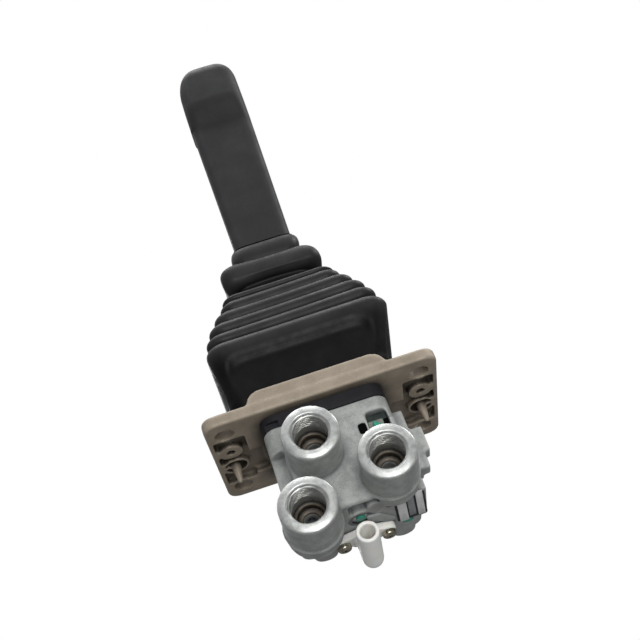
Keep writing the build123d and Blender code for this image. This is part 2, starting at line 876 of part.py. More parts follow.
def seal_ring(places, z, ring_r, half_section):
    """Seal rings with an octagonal section, centred on the level given."""
    with BuildPart() as ring:
        for x, y in places:
            with BuildSketch(Plane.XZ.offset(-y)):
                with Locations((x + ring_r, z)):
                    RegularPolygon(half_section, 8)
            revolve(axis=Axis((x, y, z), (0, 0, 1)))
    return ring


chamber_seals = seal_ring(
    ((0, -plunger_offset), (0, plunger_offset)),
    body_top - chamber_seal_wire_r,
    chamber_seal_r,
    chamber_seal_wire_r - fit_gap,
)
keep(chamber_seals, "chamber_seals")


def plunger(y):
    """Plunger with a spherical nose whose centre is level with the pivot."""
    with BuildPart() as rod:
        with Locations((0, y, plunger_bottom)):
            Cylinder(plunger_r, pivot_z - plunger_bottom, align=upright)
        with Locations((0, y, pivot_z)):
            Sphere(plunger_r)
    return rod


def spring_seat(y):
    """Stepped washer under a plunger that centres its regulating spring."""
    with BuildPart() as seat:
        with Locations((0, y, seat_top)):
            Cylinder(seat_r, seat_thick, align=downward)
            Cylinder(seat_spigot_r, seat_thick + seat_spigot_length, align=downward)
    return seat


def spool(y):
    """Reducing spool: head, two lands with grooves between, tail and exhaust bore."""
    with BuildPart() as body:
        with Locations((0, y, spool_top)):
            Cylinder(spool_head_r, spool_head_thick, align=downward)
            Cylinder(spool_r - running_gap, spool_top - spool_shoulder, align=downward)
            Cylinder(
                spool_tail_r,
                spool_top - spool_shoulder + spool_tail_length,
                align=downward,
            )
        grooves = (
            (supply_z + spool_groove_length / 2, spool_groove_length),
            (metering_groove_z + metering_groove_length / 2, metering_groove_length),
        )
        for z, length in grooves:
            with BuildSketch(Plane.XY.offset(z)):
                with Locations((0, y)):
                    Circle(spool_r)
                    Circle(spool_groove_r, mode=Mode.SUBTRACT)
            extrude(amount=-length, mode=Mode.SUBTRACT)
        with Locations((0, y, 0)):
            Hole(spool_core_r)
    return body


def coil_spring(y, bottom, top, coil_r, wire_r, turns):
    """Round-wire compression spring between two levels."""
    rise = top - bottom - 2 * (wire_r + spring_end_gap)
    start = (0, y, bottom + wire_r + spring_end_gap)
    with BuildPart() as spring:
        with BuildLine(Plane(origin=start)) as path:
            Helix(pitch=rise / turns, height=rise, radius=coil_r)
        with BuildSketch(Plane(origin=path.line @ 0, z_dir=path.line % 0)):
            RegularPolygon(wire_r, spring_wire_sides)
        sweep()
    return spring


def spring_cap(y):
    """Plug under a return spring, grooved for its O-ring."""
    with BuildPart() as cap:
        with Locations((0, y, cap_bottom)):
            Cylinder(cap_chamber_r - fit_gap, cap_thick, align=upright)
        groove_z = cap_bottom + (cap_thick - cap_groove_width) / 2
        with BuildSketch(Plane.XY.offset(groove_z)):
            with Locations((0, y)):
                Circle(cap_chamber_r)
                Circle(cap_chamber_r - cap_groove_depth, mode=Mode.SUBTRACT)
        extrude(amount=cap_groove_width, mode=Mode.SUBTRACT)
        with Locations((0, y, cap_bottom)):
            Cylinder(
                core_plug_r + fit_gap,
                core_plug_length - cap_ring_thick,
                align=upright,
                mode=Mode.SUBTRACT,
            )
    return cap


# One cartridge in front of the pivot and one behind it
for side, y in zip(("front", "rear"), plungers_y):
    keep(plunger(y), f"plunger_{side}")
    keep(spring_seat(y), f"spring_seat_{side}")
    keep(spool(y), f"spool_{side}")
    keep(spring_cap(y), f"spring_cap_{side}")
    regulating_spring = coil_spring(
        y,
        spool_top,
        seat_top - seat_thick,
        regulating_coil_r,
        regulating_wire_r,
        regulating_turns,
    )
    keep(regulating_spring, f"regulating_spring_{side}")
    return_spring = coil_spring(
        y,
        cap_top,
        spool_shoulder,
        return_coil_r,
        return_wire_r,
        return_turns,
    )
    keep(return_spring, f"return_spring_{side}")

cap_seals = seal_ring(
    ((0, -plunger_offset), (0, plunger_offset)),
    cap_bottom + cap_thick / 2,
    cap_chamber_r - cap_groove_depth / 2,
    cap_groove_depth / 2 - fit_gap,
)
keep(cap_seals, "cap_seals")

with BuildPart() as cap_rings:
    with BuildSketch(Plane.XY.offset(body_bottom + cap_ring_setback + fit_gap)):
        with Locations((0, -plunger_offset), (0, plunger_offset)):
            Circle(cap_chamber_r + cap_ring_lip - fit_gap)
            Circle(cap_chamber_r + cap_ring_lip - cap_ring_width, mode=Mode.SUBTRACT)
    extrude(amount=cap_ring_thick - 2 * fit_gap)
keep(cap_rings, "cap_rings")

# Vent elbow with its two-eared flange. Its tube rises a little towards the mouth.
elbow_rise = math.degrees(math.atan2(vent_drop, vent_mouth + vent_y))
elbow_place = Location((0, vent_y, elbow_z), (90 - elbow_rise, 0, 0))
with BuildPart() as vent_elbow:
    with BuildSketch(Plane.XY.offset(body_bottom)):
        with Locations((0, vent_y)):
            Circle(vent_flange_r)
            Rectangle(vent_ear_span, 1.5 * vent_ear_r)
        with Locations((-vent_ear_span / 2, vent_y), (vent_ear_span / 2, vent_y)):
            Circle(vent_ear_r)
    extrude(amount=-vent_flange_thick)
    with Locations((0, vent_y, body_bottom)):
        Cylinder(vent_tube_r, body_bottom - elbow_z, align=downward)
    with Locations((0, vent_y, elbow_z)):
        Sphere(vent_tube_r)
    elbow_run = math.hypot(vent_mouth + vent_y, vent_drop)
    with Locations(elbow_place):
        Cylinder(vent_tube_r, elbow_run, align=upright)
        Cylinder(vent_bore_r, elbow_run, align=upright, mode=Mode.SUBTRACT)
    with Locations((0, vent_y, body_bottom)):
        Cylinder(
            vent_bore_r - fit_gap,
            body_bottom - elbow_z,
            align=downward,
            mode=Mode.SUBTRACT,
        )
    with BuildSketch(Plane.XY.offset(body_bottom)):
        with Locations((0, vent_y)):
            Circle(vent_seal_r + vent_seal_wire_r)
            Circle(vent_seal_r - vent_seal_wire_r, mode=Mode.SUBTRACT)
    extrude(amount=-2 * vent_seal_wire_r, mode=Mode.SUBTRACT)
    with Locations(
        (-vent_ear_span / 2, vent_y, body_bottom),
        (vent_ear_span / 2, vent_y, body_bottom),
    ):
        Hole(vent_screw_r + fit_gap)
keep(vent_elbow, "vent_elbow")

vent_seal = seal_ring(
    ((0, vent_y),),
    body_bottom - vent_seal_wire_r,
    vent_seal_r,
    vent_seal_wire_r - fit_gap,
)
keep(vent_seal, "vent_seal")

with BuildPart() as vent_screws:
    head_top = body_bottom - vent_flange_thick
    for x in (-vent_ear_span / 2, vent_ear_span / 2):
        with Locations((x, vent_y, head_top)):
            Cylinder(vent_screw_head_r, vent_screw_head, align=downward)
            Cylinder(
                vent_screw_r,
                vent_flange_thick + vent_screw_length - vent_screw_recess,
                align=upright,
            )
    fillet(vent_screws.edges().group_by(Axis.Z)[0], vent_screw_head / 2)
    for x in (-vent_ear_span / 2, vent_ear_span / 2):
        with Locations((x, vent_y, head_top - vent_screw_head)):
            Box(
                vent_screw_head_r,
                vent_screw_recess / 2,
                vent_screw_recess,
                align=upright,
                mode=Mode.SUBTRACT,
            )
            Box(
                vent_screw_recess / 2,
                vent_screw_head_r,
                vent_screw_recess,
                align=upright,
                mode=Mode.SUBTRACT,
            )
keep(vent_screws, "vent_screws")

# Socket-head screws that clamp plate, pivot housing and body together
with BuildPart() as body_screws:
    with BuildSketch(Plane.XY.offset(body_screw_seat)):
        with GridLocations(2 * body_screw_x, 2 * body_screw_y, 2, 2):
            Circle(body_screw_head_r)
    extrude(amount=body_screw_head)
    with BuildSketch(Plane.XY.offset(body_screw_seat)):
        with GridLocations(2 * body_screw_x, 2 * body_screw_y, 2, 2):
            Circle(body_screw_r)
    extrude(amount=-body_screw_length)
    with BuildSketch(Plane.XY.offset(body_screw_seat + body_screw_head)):
        with GridLocations(2 * body_screw_x, 2 * body_screw_y, 2, 2):
            RegularPolygon(body_screw_socket / 2, 6, major_radius=False)
    extrude(amount=-body_screw_head / 2, mode=Mode.SUBTRACT)
keep(body_screws, "body_screws")

# Plugs in the cross drillings, and moulded plugs in the caps and the underside
with BuildPart() as gallery_plugs:
    plug_r_fit = plug_r - fit_gap
    with Locations(
        along_x(body_left, -plunger_offset, supply_z),
        along_x(body_left, plunger_offset, supply_z),
        along_x(body_left, plunger_offset, rear_cross_z),
    ):
        Cylinder(plug_r_fit, plug_depth - fit_gap, align=upright)
    with Locations(along_x(body_right, -plunger_offset, front_outlet_z)):
        Cylinder(plug_r_fit, plug_depth - fit_gap, align=downward)
    with Locations(along_y(rear_outlet_x, rear_cross_z, plug_depth - rear_lug_back)):
        Cylinder(plug_r_fit, plug_depth - fit_gap, align=downward)
keep(gallery_plugs, "gallery_plugs")

with BuildPart() as core_plugs:
    with Locations((core_plug_x, core_plug_y, body_bottom)):
        Cylinder(core_plug_r, core_plug_length - fit_gap, align=upright)
    cap_plug_z = cap_bottom - cap_ring_thick
    with Locations((0, -plunger_offset, cap_plug_z), (0, plunger_offset, cap_plug_z)):
        Cylinder(core_plug_r, core_plug_length - fit_gap, align=upright)
keep(core_plugs, "core_plugs")

with BuildPart() as port_seat_rings:
    for x, z in ports:
        with BuildSketch(Plane.XZ.offset(port_floor + fit_gap)):
            with Locations((x, z)):
                Circle(seat_bore_r - fit_gap)
                Circle(seat_ring_bore_r, mode=Mode.SUBTRACT)
        extrude(amount=seat_ring_thick)
keep(port_seat_rings, "port_seat_rings")
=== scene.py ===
import json
import logging
from dataclasses import dataclass
from enum import Enum
from typing import Any, Sequence

import bmesh
import bpy
import numpy as np
from mathutils import Matrix, Vector


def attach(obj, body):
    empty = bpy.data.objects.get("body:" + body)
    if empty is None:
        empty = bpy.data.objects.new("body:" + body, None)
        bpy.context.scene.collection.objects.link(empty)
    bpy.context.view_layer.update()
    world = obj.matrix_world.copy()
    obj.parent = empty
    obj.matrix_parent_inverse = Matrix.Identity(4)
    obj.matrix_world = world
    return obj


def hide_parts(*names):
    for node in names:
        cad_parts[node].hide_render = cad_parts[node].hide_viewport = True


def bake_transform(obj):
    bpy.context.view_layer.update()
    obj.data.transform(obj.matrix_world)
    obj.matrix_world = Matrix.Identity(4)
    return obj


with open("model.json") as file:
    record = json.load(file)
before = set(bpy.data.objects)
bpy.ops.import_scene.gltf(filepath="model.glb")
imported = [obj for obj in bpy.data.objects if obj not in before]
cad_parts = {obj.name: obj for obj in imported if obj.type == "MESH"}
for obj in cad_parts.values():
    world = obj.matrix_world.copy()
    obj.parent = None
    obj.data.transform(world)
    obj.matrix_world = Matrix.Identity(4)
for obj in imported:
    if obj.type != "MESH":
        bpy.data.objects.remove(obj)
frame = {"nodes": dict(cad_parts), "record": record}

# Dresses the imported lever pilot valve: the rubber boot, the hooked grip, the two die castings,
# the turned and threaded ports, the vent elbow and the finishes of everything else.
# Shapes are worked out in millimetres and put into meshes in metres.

MM = 0.001
LOG = logging.getLogger("pilot_valve")
NODES = frame["nodes"]


class Body(Enum):
    """The moving bodies that pieces ride on."""

    HOUSING = "housing"
    LEVER = "lever"


# ---------------------------------------------------------------- surfaces


def smoothstep(low: float, high: float, value: np.ndarray) -> np.ndarray:
    """Ease from 0 to 1: three times t squared less two times t cubed, t clipped to 0..1.

    Args:
        low: Value at which the result is 0.
        high: Value at which the result is 1.
        value: Where it is wanted.

    Returns:
        An array of the shape of value.
    """
    t = np.clip((value - low) / (high - low), 0.0, 1.0)
    return t * t * (3.0 - 2.0 * t)


def between(limits: Sequence[float], value: np.ndarray) -> np.ndarray:
    """Ease from 0 to 1 between the first two limits and back to 0 between the last two."""
    return smoothstep(limits[0], limits[1], value) * (
        1.0 - smoothstep(limits[2], limits[3], value))


def crowded(count: int) -> np.ndarray:
    """Fractions between 0 and 1 that crowd towards both ends: half of one less a cosine."""
    return (1.0 - np.cos(np.pi * np.arange(1, count + 1) / (count + 1))) / 2.0


def rounded_rings(
    left: Any, right: Any, front: Any, back: Any, corner: Any,
    arc: int = 8, runs: Sequence[np.ndarray] = (crowded(8),) * 4,
) -> np.ndarray:
    """Rounded rectangles about the Z axis, one for each row.

    Each corner is a quarter circle about a centre that lies one corner radius inside both
    sides, and each straight run goes from one quarter's end to the next one's start.

    Args:
        left: Reach towards -X for each row.
        right: Reach towards +X.
        front: Reach towards -Y.
        back: Reach towards +Y.
        corner: Corner radius.
        arc: Steps in each corner.
        runs: Fractions along the back, left, front and right runs.

    Returns:
        Points in plan, rows by columns by 2.
    """
    left, right, front, back, corner = np.broadcast_arrays(
        *(np.atleast_1d(np.asarray(v, float)) for v in (left, right, front, back, corner)))
    xs = (right - corner, corner - left, corner - left, right - corner)
    ys = (back - corner, back - corner, corner - front, corner - front)
    turn = np.linspace(0.0, np.pi / 2.0, arc + 1)
    arcs = [
        np.stack([x[:, None] + corner[:, None] * np.cos(turn + quarter * np.pi / 2.0),
                  y[:, None] + corner[:, None] * np.sin(turn + quarter * np.pi / 2.0)], -1)
        for quarter, (x, y) in enumerate(zip(xs, ys))
    ]
    columns = []
    for quarter, along in enumerate(runs):
        start = arcs[quarter][:, -1:]
        end = arcs[(quarter + 1) % 4][:, :1]
        columns += [arcs[quarter], start + (end - start) * along[None, :, None]]
    return np.concatenate(columns, axis=1)


def raised(plan: np.ndarray, height: Any) -> np.ndarray:
    """Points in plan set at a height for each row."""
    level = np.broadcast_to(np.asarray(height, float)[:, None], plan.shape[:2])
    return np.concatenate([plan, level[..., None]], axis=-1)


def turned(radius: Any, along: Any, centre: Sequence[float],
           columns: int = 96) -> np.ndarray:
    """Surface of revolution along Y: each row is a circle of its radius at its place.

    Args:
        radius: Radius of each row, or of each row and column.
        along: Y of each row.
        centre: X and Z of the axis.
        columns: Points round each circle.

    Returns:
        Points, rows by columns by 3.
    """
    turn = np.linspace(0.0, 2.0 * np.pi, columns, endpoint=False)[None, :]
    radius = np.asarray(radius, float)
    radius = radius[:, None] if radius.ndim == 1 else radius
    x = centre[0] + radius * np.cos(turn)
    z = centre[1] + radius * np.sin(turn)
    y = np.broadcast_to(np.asarray(along, float)[:, None], x.shape)
    return np.stack([x, y, z], axis=-1)


def hull_rows(circles: Sequence[tuple[float, float, float]], inset: Any,
              columns: int = 96) -> np.ndarray:
    """Outlines of a band stretched round circles, drawn in by a distance for each row.

    For each direction the circle that reaches furthest gives the point: its centre plus its
    radius, less the inset, in that direction.

    Args:
        circles: Centre and radius of each circle.
        inset: Distance drawn in, for each row.
        columns: Directions round the outline.

    Returns:
        Points in plan, rows by columns by 2.
    """
    disc = np.asarray(circles, float)
    turn = np.linspace(0.0, 2.0 * np.pi, columns, endpoint=False)
    way = np.stack([np.cos(turn), np.sin(turn)], axis=-1)
    furthest = np.argmax(way @ disc[:, :2].T + disc[:, 2], axis=1)
    reach = disc[furthest, 2][None, :] - np.asarray(inset, float)[:, None]
    return disc[furthest, :2][None] + reach[..., None] * way[None]


def half_round(count: int) -> tuple[np.ndarray, np.ndarray]:
    """Sine and cosine of even angles from -90 to 90 degrees."""
    turn = np.linspace(-np.pi / 2.0, np.pi / 2.0, count)
    return np.sin(turn), np.cos(turn)


# ---------------------------------------------------------------- meshes


def grid_faces(rows: int, columns: int, ring: bool, capped: bool) -> list[tuple[int, ...]]:
    """Quads between neighbouring rows, with fans to two poles where the grid is capped.

    Args:
        rows: Rows in the grid.
        columns: Points round each row, which always closes on itself.
        ring: Whether the last row joins the first.
        capped: Whether both ends close on a pole, numbered after the grid's points.

    Returns:
        Faces as tuples of indices.
    """
    index = np.arange(rows * columns).reshape(rows, columns)
    low = index if ring else index[:-1]
    high = np.roll(index, -1, axis=0) if ring else index[1:]
    quads = np.stack([low, np.roll(low, -1, axis=1), np.roll(high, -1, axis=1), high], axis=-1)
    faces = [tuple(quad) for quad in quads.reshape(-1, 4).tolist()]
    if capped:
        for row, pole in ((index[0][::-1], rows * columns), (index[-1], rows * columns + 1)):
            fan = np.stack([row, np.roll(row, -1), np.full_like(row, pole)], axis=-1)
            faces += [tuple(face) for face in fan.tolist()]
    return faces


def mesh_object(name: str, grids: Sequence[np.ndarray], ring: bool = False,
                crease: float = 40.0) -> bpy.types.Object:
    """One mesh object from closed grids of points in millimetres.

    Args:
        name: Name of the piece.
        grids: Each is rows by columns by 3.
        ring: Whether each grid's last row joins its first. Otherwise both ends are capped.
        crease: Edges sharper than this many degrees stay sharp in shading.

    Returns:
        The new object, linked to the scene.
    """
    points: list[np.ndarray] = []
    faces: list[tuple[int, ...]] = []
    for grid in grids:
        base = sum(len(p) for p in points)
        flat = grid.reshape(-1, 3)
        if not ring:
            flat = np.concatenate([flat, grid[0].mean(0)[None], grid[-1].mean(0)[None]])
        found = grid_faces(grid.shape[0], grid.shape[1], ring, not ring)
        faces += [tuple(i + base for i in face) for face in found]
        points.append(flat)
    mesh = bpy.data.meshes.new(name)
    mesh.from_pydata((np.concatenate(points) * MM).tolist(), [], faces)
    return finish_mesh(name, mesh, crease)


def finish_mesh(name: str, mesh: bpy.types.Mesh, crease: float) -> bpy.types.Object:
    """Turn a mesh's faces outwards, shade it smooth and link it as an object.

    Args:
        name: Name of the piece.
        mesh: Its closed mesh, in metres.
        crease: Edges sharper than this many degrees stay sharp.

    Returns:
        The new object.
    """
    work = bmesh.new()
    work.from_mesh(mesh)
    bmesh.ops.recalc_face_normals(work, faces=work.faces)
    work.to_mesh(mesh)
    work.free()
    mesh.shade_smooth()
    mesh.set_sharp_from_angle(angle=np.radians(crease))
    piece = bpy.data.objects.new(name, mesh)
    bpy.context.scene.collection.objects.link(piece)
    return piece


def mark_rows(piece: bpy.types.Object, name: str, rows: np.ndarray, columns: int) -> None:
    """Store a number for each row of a piece's grid as a vertex attribute for its finish."""
    store = piece.data.attributes.new(name, "FLOAT", "POINT")
    store.data.foreach_set("value", np.repeat(rows, columns).astype(np.float32))


def seat_piece(piece: bpy.types.Object, body: Body, finish: bpy.types.Material,
               stands_for: Sequence[str] = ()) -> bpy.types.Object:
    """Give a piece its finish, its body and the nodes it replaces.

    Args:
        piece: The piece.
        body: Body that it rides on.
        finish: Its material.
        stands_for: CAD nodes that it replaces.

    Returns:
        The piece.
    """
    piece.data.materials.clear()
    piece.data.materials.append(finish)
    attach(piece, body.value)
    if stands_for:
        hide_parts(*stands_for)
    LOG.info("%s: %d faces on %s", piece.name, len(piece.data.polygons), body.value)
    return piece


def cast_copy(name: str, node: str, added: Sequence[bpy.types.Object],
              cut: Sequence[bpy.types.Object], voxel: float, rounds: int) -> bpy.types.Object:
    """A copy of a CAD casting with blended edges, as a die leaves them.

    The copy's doubled points are merged, what is cut is taken out, what is added is joined,
    and the whole is turned into even cells and relaxed, so that each edge gets a small radius.

    Args:
        name: Name of the new piece.
        node: CAD node to copy.
        added: Closed pieces joined on.
        cut: Closed pieces taken away.
        voxel: Cell size in millimetres.
        rounds: Rounds of relaxing.

    Returns:
        The new object.
    """
    work = bmesh.new()
    work.from_mesh(NODES[node].data)
    bmesh.ops.remove_doubles(work, verts=work.verts, dist=0.5e-6)
    mesh = bpy.data.meshes.new(name + "_work")
    work.to_mesh(mesh)
    work.free()
    blank = bpy.data.objects.new(name + "_work", mesh)
    bpy.context.scene.collection.objects.link(blank)
    for tool in cut:
        hole = blank.modifiers.new("cut", "BOOLEAN")
        hole.operation = "DIFFERENCE"
        hole.solver = "EXACT"
        hole.object = tool
    settle(blank)
    piece = fused(name, [blank, *added], voxel, rounds, 50.0)
    for spare in cut:
        bpy.data.objects.remove(spare)
    return piece


def fused(name: str, pieces: Sequence[bpy.types.Object], voxel: float, rounds: int,
          crease: float) -> bpy.types.Object:
    """Join closed pieces into one skin of even cells and relax it; the pieces are removed.

    Args:
        name: Name of the new piece.
        pieces: Closed pieces that overlap.
        voxel: Cell size in millimetres.
        rounds: Rounds of relaxing.
        crease: Edges sharper than this many degrees stay sharp.

    Returns:
        The new object.
    """
    join = bmesh.new()
    for piece in pieces:
        join.from_mesh(piece.data)
    mesh = bpy.data.meshes.new(name + "_skin")
    join.to_mesh(mesh)
    join.free()
    blank = bpy.data.objects.new(name + "_skin", mesh)
    bpy.context.scene.collection.objects.link(blank)
    cells = blank.modifiers.new("cells", "REMESH")
    cells.mode = "VOXEL"
    cells.voxel_size = voxel * MM
    relax = blank.modifiers.new("relax", "SMOOTH")
    relax.factor = 0.5
    relax.iterations = rounds
    settle(blank)
    result = blank.data
    result.name = name
    for spare in (*pieces, blank):
        bpy.data.objects.remove(spare)
    return finish_mesh(name, result, crease)


def settle(piece: bpy.types.Object) -> None:
    """Apply a piece's modifiers to its mesh."""
    bpy.context.view_layer.update()
    graph = bpy.context.evaluated_depsgraph_get()
    mesh = bpy.data.meshes.new_from_object(piece.evaluated_get(graph))
    piece.modifiers.clear()
    piece.data = mesh


def bar(name: str, centre: Sequence[float], radius: float, start: float,
        end: float) -> bpy.types.Object:
    """A plain round bar along Y that serves as a cutter."""
    return mesh_object(name, [turned([radius, radius], [start, end], centre, 64)])


# ---------------------------------------------------------------- finishes


def linear(colour: str) -> tuple[float, float, float, float]:
    """Linear RGBA of an sRGB hex value.

    Args:
        colour: Six hexadecimal digits.

    Returns:
        Red, green and blue in linear light, and an alpha of 1.
    """
    part = np.array([int(colour[i:i + 2], 16) for i in (0, 2, 4)]) / 255.0
    lit = np.where(part <= 0.04045, part / 12.92, ((part + 0.055) / 1.055) ** 2.4)
    return (*lit.tolist(), 1.0)


def add_node(tree: bpy.types.NodeTree, kind: str, settings: dict[str, Any] | None = None,
             sockets: dict[Any, Any] | None = None) -> bpy.types.Node:
    """Add a node, set its properties, and set or link its inputs.

    Args:
        tree: Node tree.
        kind: Node type without its ShaderNode prefix.
        settings: Properties by name.
        sockets: Inputs by name or number; a socket links, anything else is a value.

    Returns:
        The node.
    """
    node = tree.nodes.new("ShaderNode" + kind)
    for key, value in (settings or {}).items():
        setattr(node, key, value)
    for key, value in (sockets or {}).items():
        if isinstance(value, bpy.types.NodeSocket):
            tree.links.new(value, node.inputs[key])
        else:
            node.inputs[key].default_value = value
    return node


def per_mm(size: float) -> float:
    """Texture scale on Object coordinates for a feature of a size in millimetres."""
    return 1.0 / (size * MM)


def ramp(tree: bpy.types.NodeTree, source: bpy.types.NodeSocket,
         stops: Sequence[tuple[float, str]]) -> bpy.types.NodeSocket:
    """A colour ramp over hex stops, and its colour output."""
    node = add_node(tree, "ValToRGB", None, {0: source})
    line = node.color_ramp.elements
    while len(line) < len(stops):
        line.new(0.5)
    for element, (place, colour) in zip(line, stops):
        element.position = place
        element.color = linear(colour)
    return node.outputs["Color"]


def noise(tree: bpy.types.NodeTree, where: bpy.types.NodeSocket, size: float,
          detail: float = 3.0, rough: float = 0.55) -> bpy.types.NodeSocket:
    """Noise whose features are about size millimetres, and its value output."""
    node = add_node(tree, "TexNoise", None, {
        "Vector": where, "Scale": per_mm(size), "Detail": detail, "Roughness": rough})
    return node.outputs[0]


def remap(tree: bpy.types.NodeTree, source: bpy.types.NodeSocket, low: float,
          high: float, start: float = 0.3, stop: float = 0.7) -> bpy.types.NodeSocket:
    """Map a value from start..stop to low..high, clamped."""
    node = add_node(tree, "MapRange", None, {
        0: source, 1: start, 2: stop, 3: low, 4: high})
    return node.outputs[0]


@dataclass(frozen=True)
class Finish:
    """A surface made of one stock by one process: its colours, gloss and grain.

    The colour drifts between shades over large soft patches and is broken up by the grain.
    The grain also lifts the surface, and roughness wanders between two values. Corners worn
    by handling take the wear colour, sheltered places darken towards a painted shade colour
    by ambient occlusion, and a painted highlight colour is laid on by its own attribute.
    """

    name: str
    shades: tuple[str, ...]
    metallic: float
    roughness: tuple[float, float]
    patch_mm: float
    grain_mm: float
    grain_lift_mm: float
    speck: float = 0.25
    wear: str = ""
    wear_share: float = 0.0
    ior: float = 1.5
    specular: float = 0.5
    painted_shade: str = ""
    painted_shade_mm: float = 5.0
    painted_highlight: str = ""
    subsurface: float = 0.0
    pits_mm: float = 0.0
    turned_mm: float = 0.0

    def build(self) -> bpy.types.Material:
        """Make the material.

        Returns:
            A node material on Object coordinates.
        """
        material = bpy.data.materials.new(self.name)
        material.use_nodes = True
        tree = material.node_tree
        tree.nodes.clear()
        where = add_node(tree, "TexCoord").outputs["Object"]
        patches = noise(tree, where, self.patch_mm, 4.0)
        grain = noise(tree, where, self.grain_mm, 2.0, 0.6)
        mixed = add_node(tree, "Math", {"operation": "MULTIPLY_ADD"}, {
            0: grain, 1: self.speck, 2: patches})
        centred = add_node(tree, "Math", {"operation": "SUBTRACT"}, {
            0: mixed.outputs[0], 1: self.speck / 2.0})
        places = np.linspace(0.32, 0.68, len(self.shades)).tolist()
        colour = ramp(tree, centred.outputs[0], list(zip(places, self.shades)))
        if self.wear:
            edges = add_node(tree, "NewGeometry").outputs["Pointiness"]
            worn = remap(tree, edges, 0.0, self.wear_share, 0.5, 0.56)
            colour = add_node(tree, "Mix", {"data_type": "RGBA"}, {
                0: worn, 6: colour, 7: linear(self.wear)}).outputs[2]
        # Painted shade: sheltered places are darkened by ambient occlusion, standing in for
        # shadow.
        if self.painted_shade:
            openness = add_node(tree, "AmbientOcclusion", {"samples": 8}, {
                "Distance": self.painted_shade_mm * MM}).outputs["AO"]
            shade_share = remap(tree, openness, 1.0, 0.0, 0.45, 0.95)
            colour = add_node(tree, "Mix", {"data_type": "RGBA"}, {
                0: shade_share, 6: colour, 7: linear(self.painted_shade)}).outputs[2]
        # Painted highlight: the stored attribute lightens the colour where top light would fall.
        if self.painted_highlight:
            share = add_node(tree, "Attribute", {"attribute_name": "painted_highlight"}).outputs["Fac"]
            highlight_amount = add_node(tree, "Math", {"operation": "MULTIPLY"}, {
                0: share, 1: remap(tree, patches, 0.6, 1.0)})
            colour = add_node(tree, "Mix", {"data_type": "RGBA"}, {
                0: highlight_amount.outputs[0], 6: colour, 7: linear(self.painted_highlight)}).outputs[2]
        rough = remap(tree, noise(tree, where, self.patch_mm * 0.4, 3.0), *self.roughness)
        height = grain
        if self.pits_mm:
            cells = add_node(tree, "TexVoronoi", {"feature": "F1"}, {
                "Vector": where, "Scale": per_mm(self.pits_mm)})
            pits = remap(tree, cells.outputs["Distance"], 0.0, 1.0, 0.0, 0.35)
            height = add_node(tree, "Math", {"operation": "MULTIPLY_ADD"}, {
                0: pits, 1: 0.8, 2: grain}).outputs[0]
        if self.turned_mm:
            feed = add_node(tree, "Attribute", {"attribute_name": "feed"}).outputs["Fac"]
            waves = add_node(tree, "Math", {"operation": "MULTIPLY"}, {
                0: feed, 1: 2.0 * np.pi / self.turned_mm})
            marks = add_node(tree, "Math", {"operation": "SINE"}, {0: waves.outputs[0]})
            height = add_node(tree, "Math", {"operation": "MULTIPLY_ADD"}, {
                0: marks.outputs[0], 1: 0.6, 2: grain}).outputs[0]
        bump = add_node(tree, "Bump", None, {
            "Strength": 1.0, "Distance": self.grain_lift_mm * MM, "Height": height})
        shader = add_node(tree, "BsdfPrincipled", None, {
            "Base Color": colour, "Metallic": self.metallic, "Roughness": rough,
            "Normal": bump.outputs[0], "IOR": self.ior,
            "Specular IOR Level": self.specular, "Subsurface Weight": self.subsurface,
            "Subsurface Scale": 0.8 * MM})
        add_node(tree, "OutputMaterial", None, {"Surface": shader.outputs[0]})
        return material


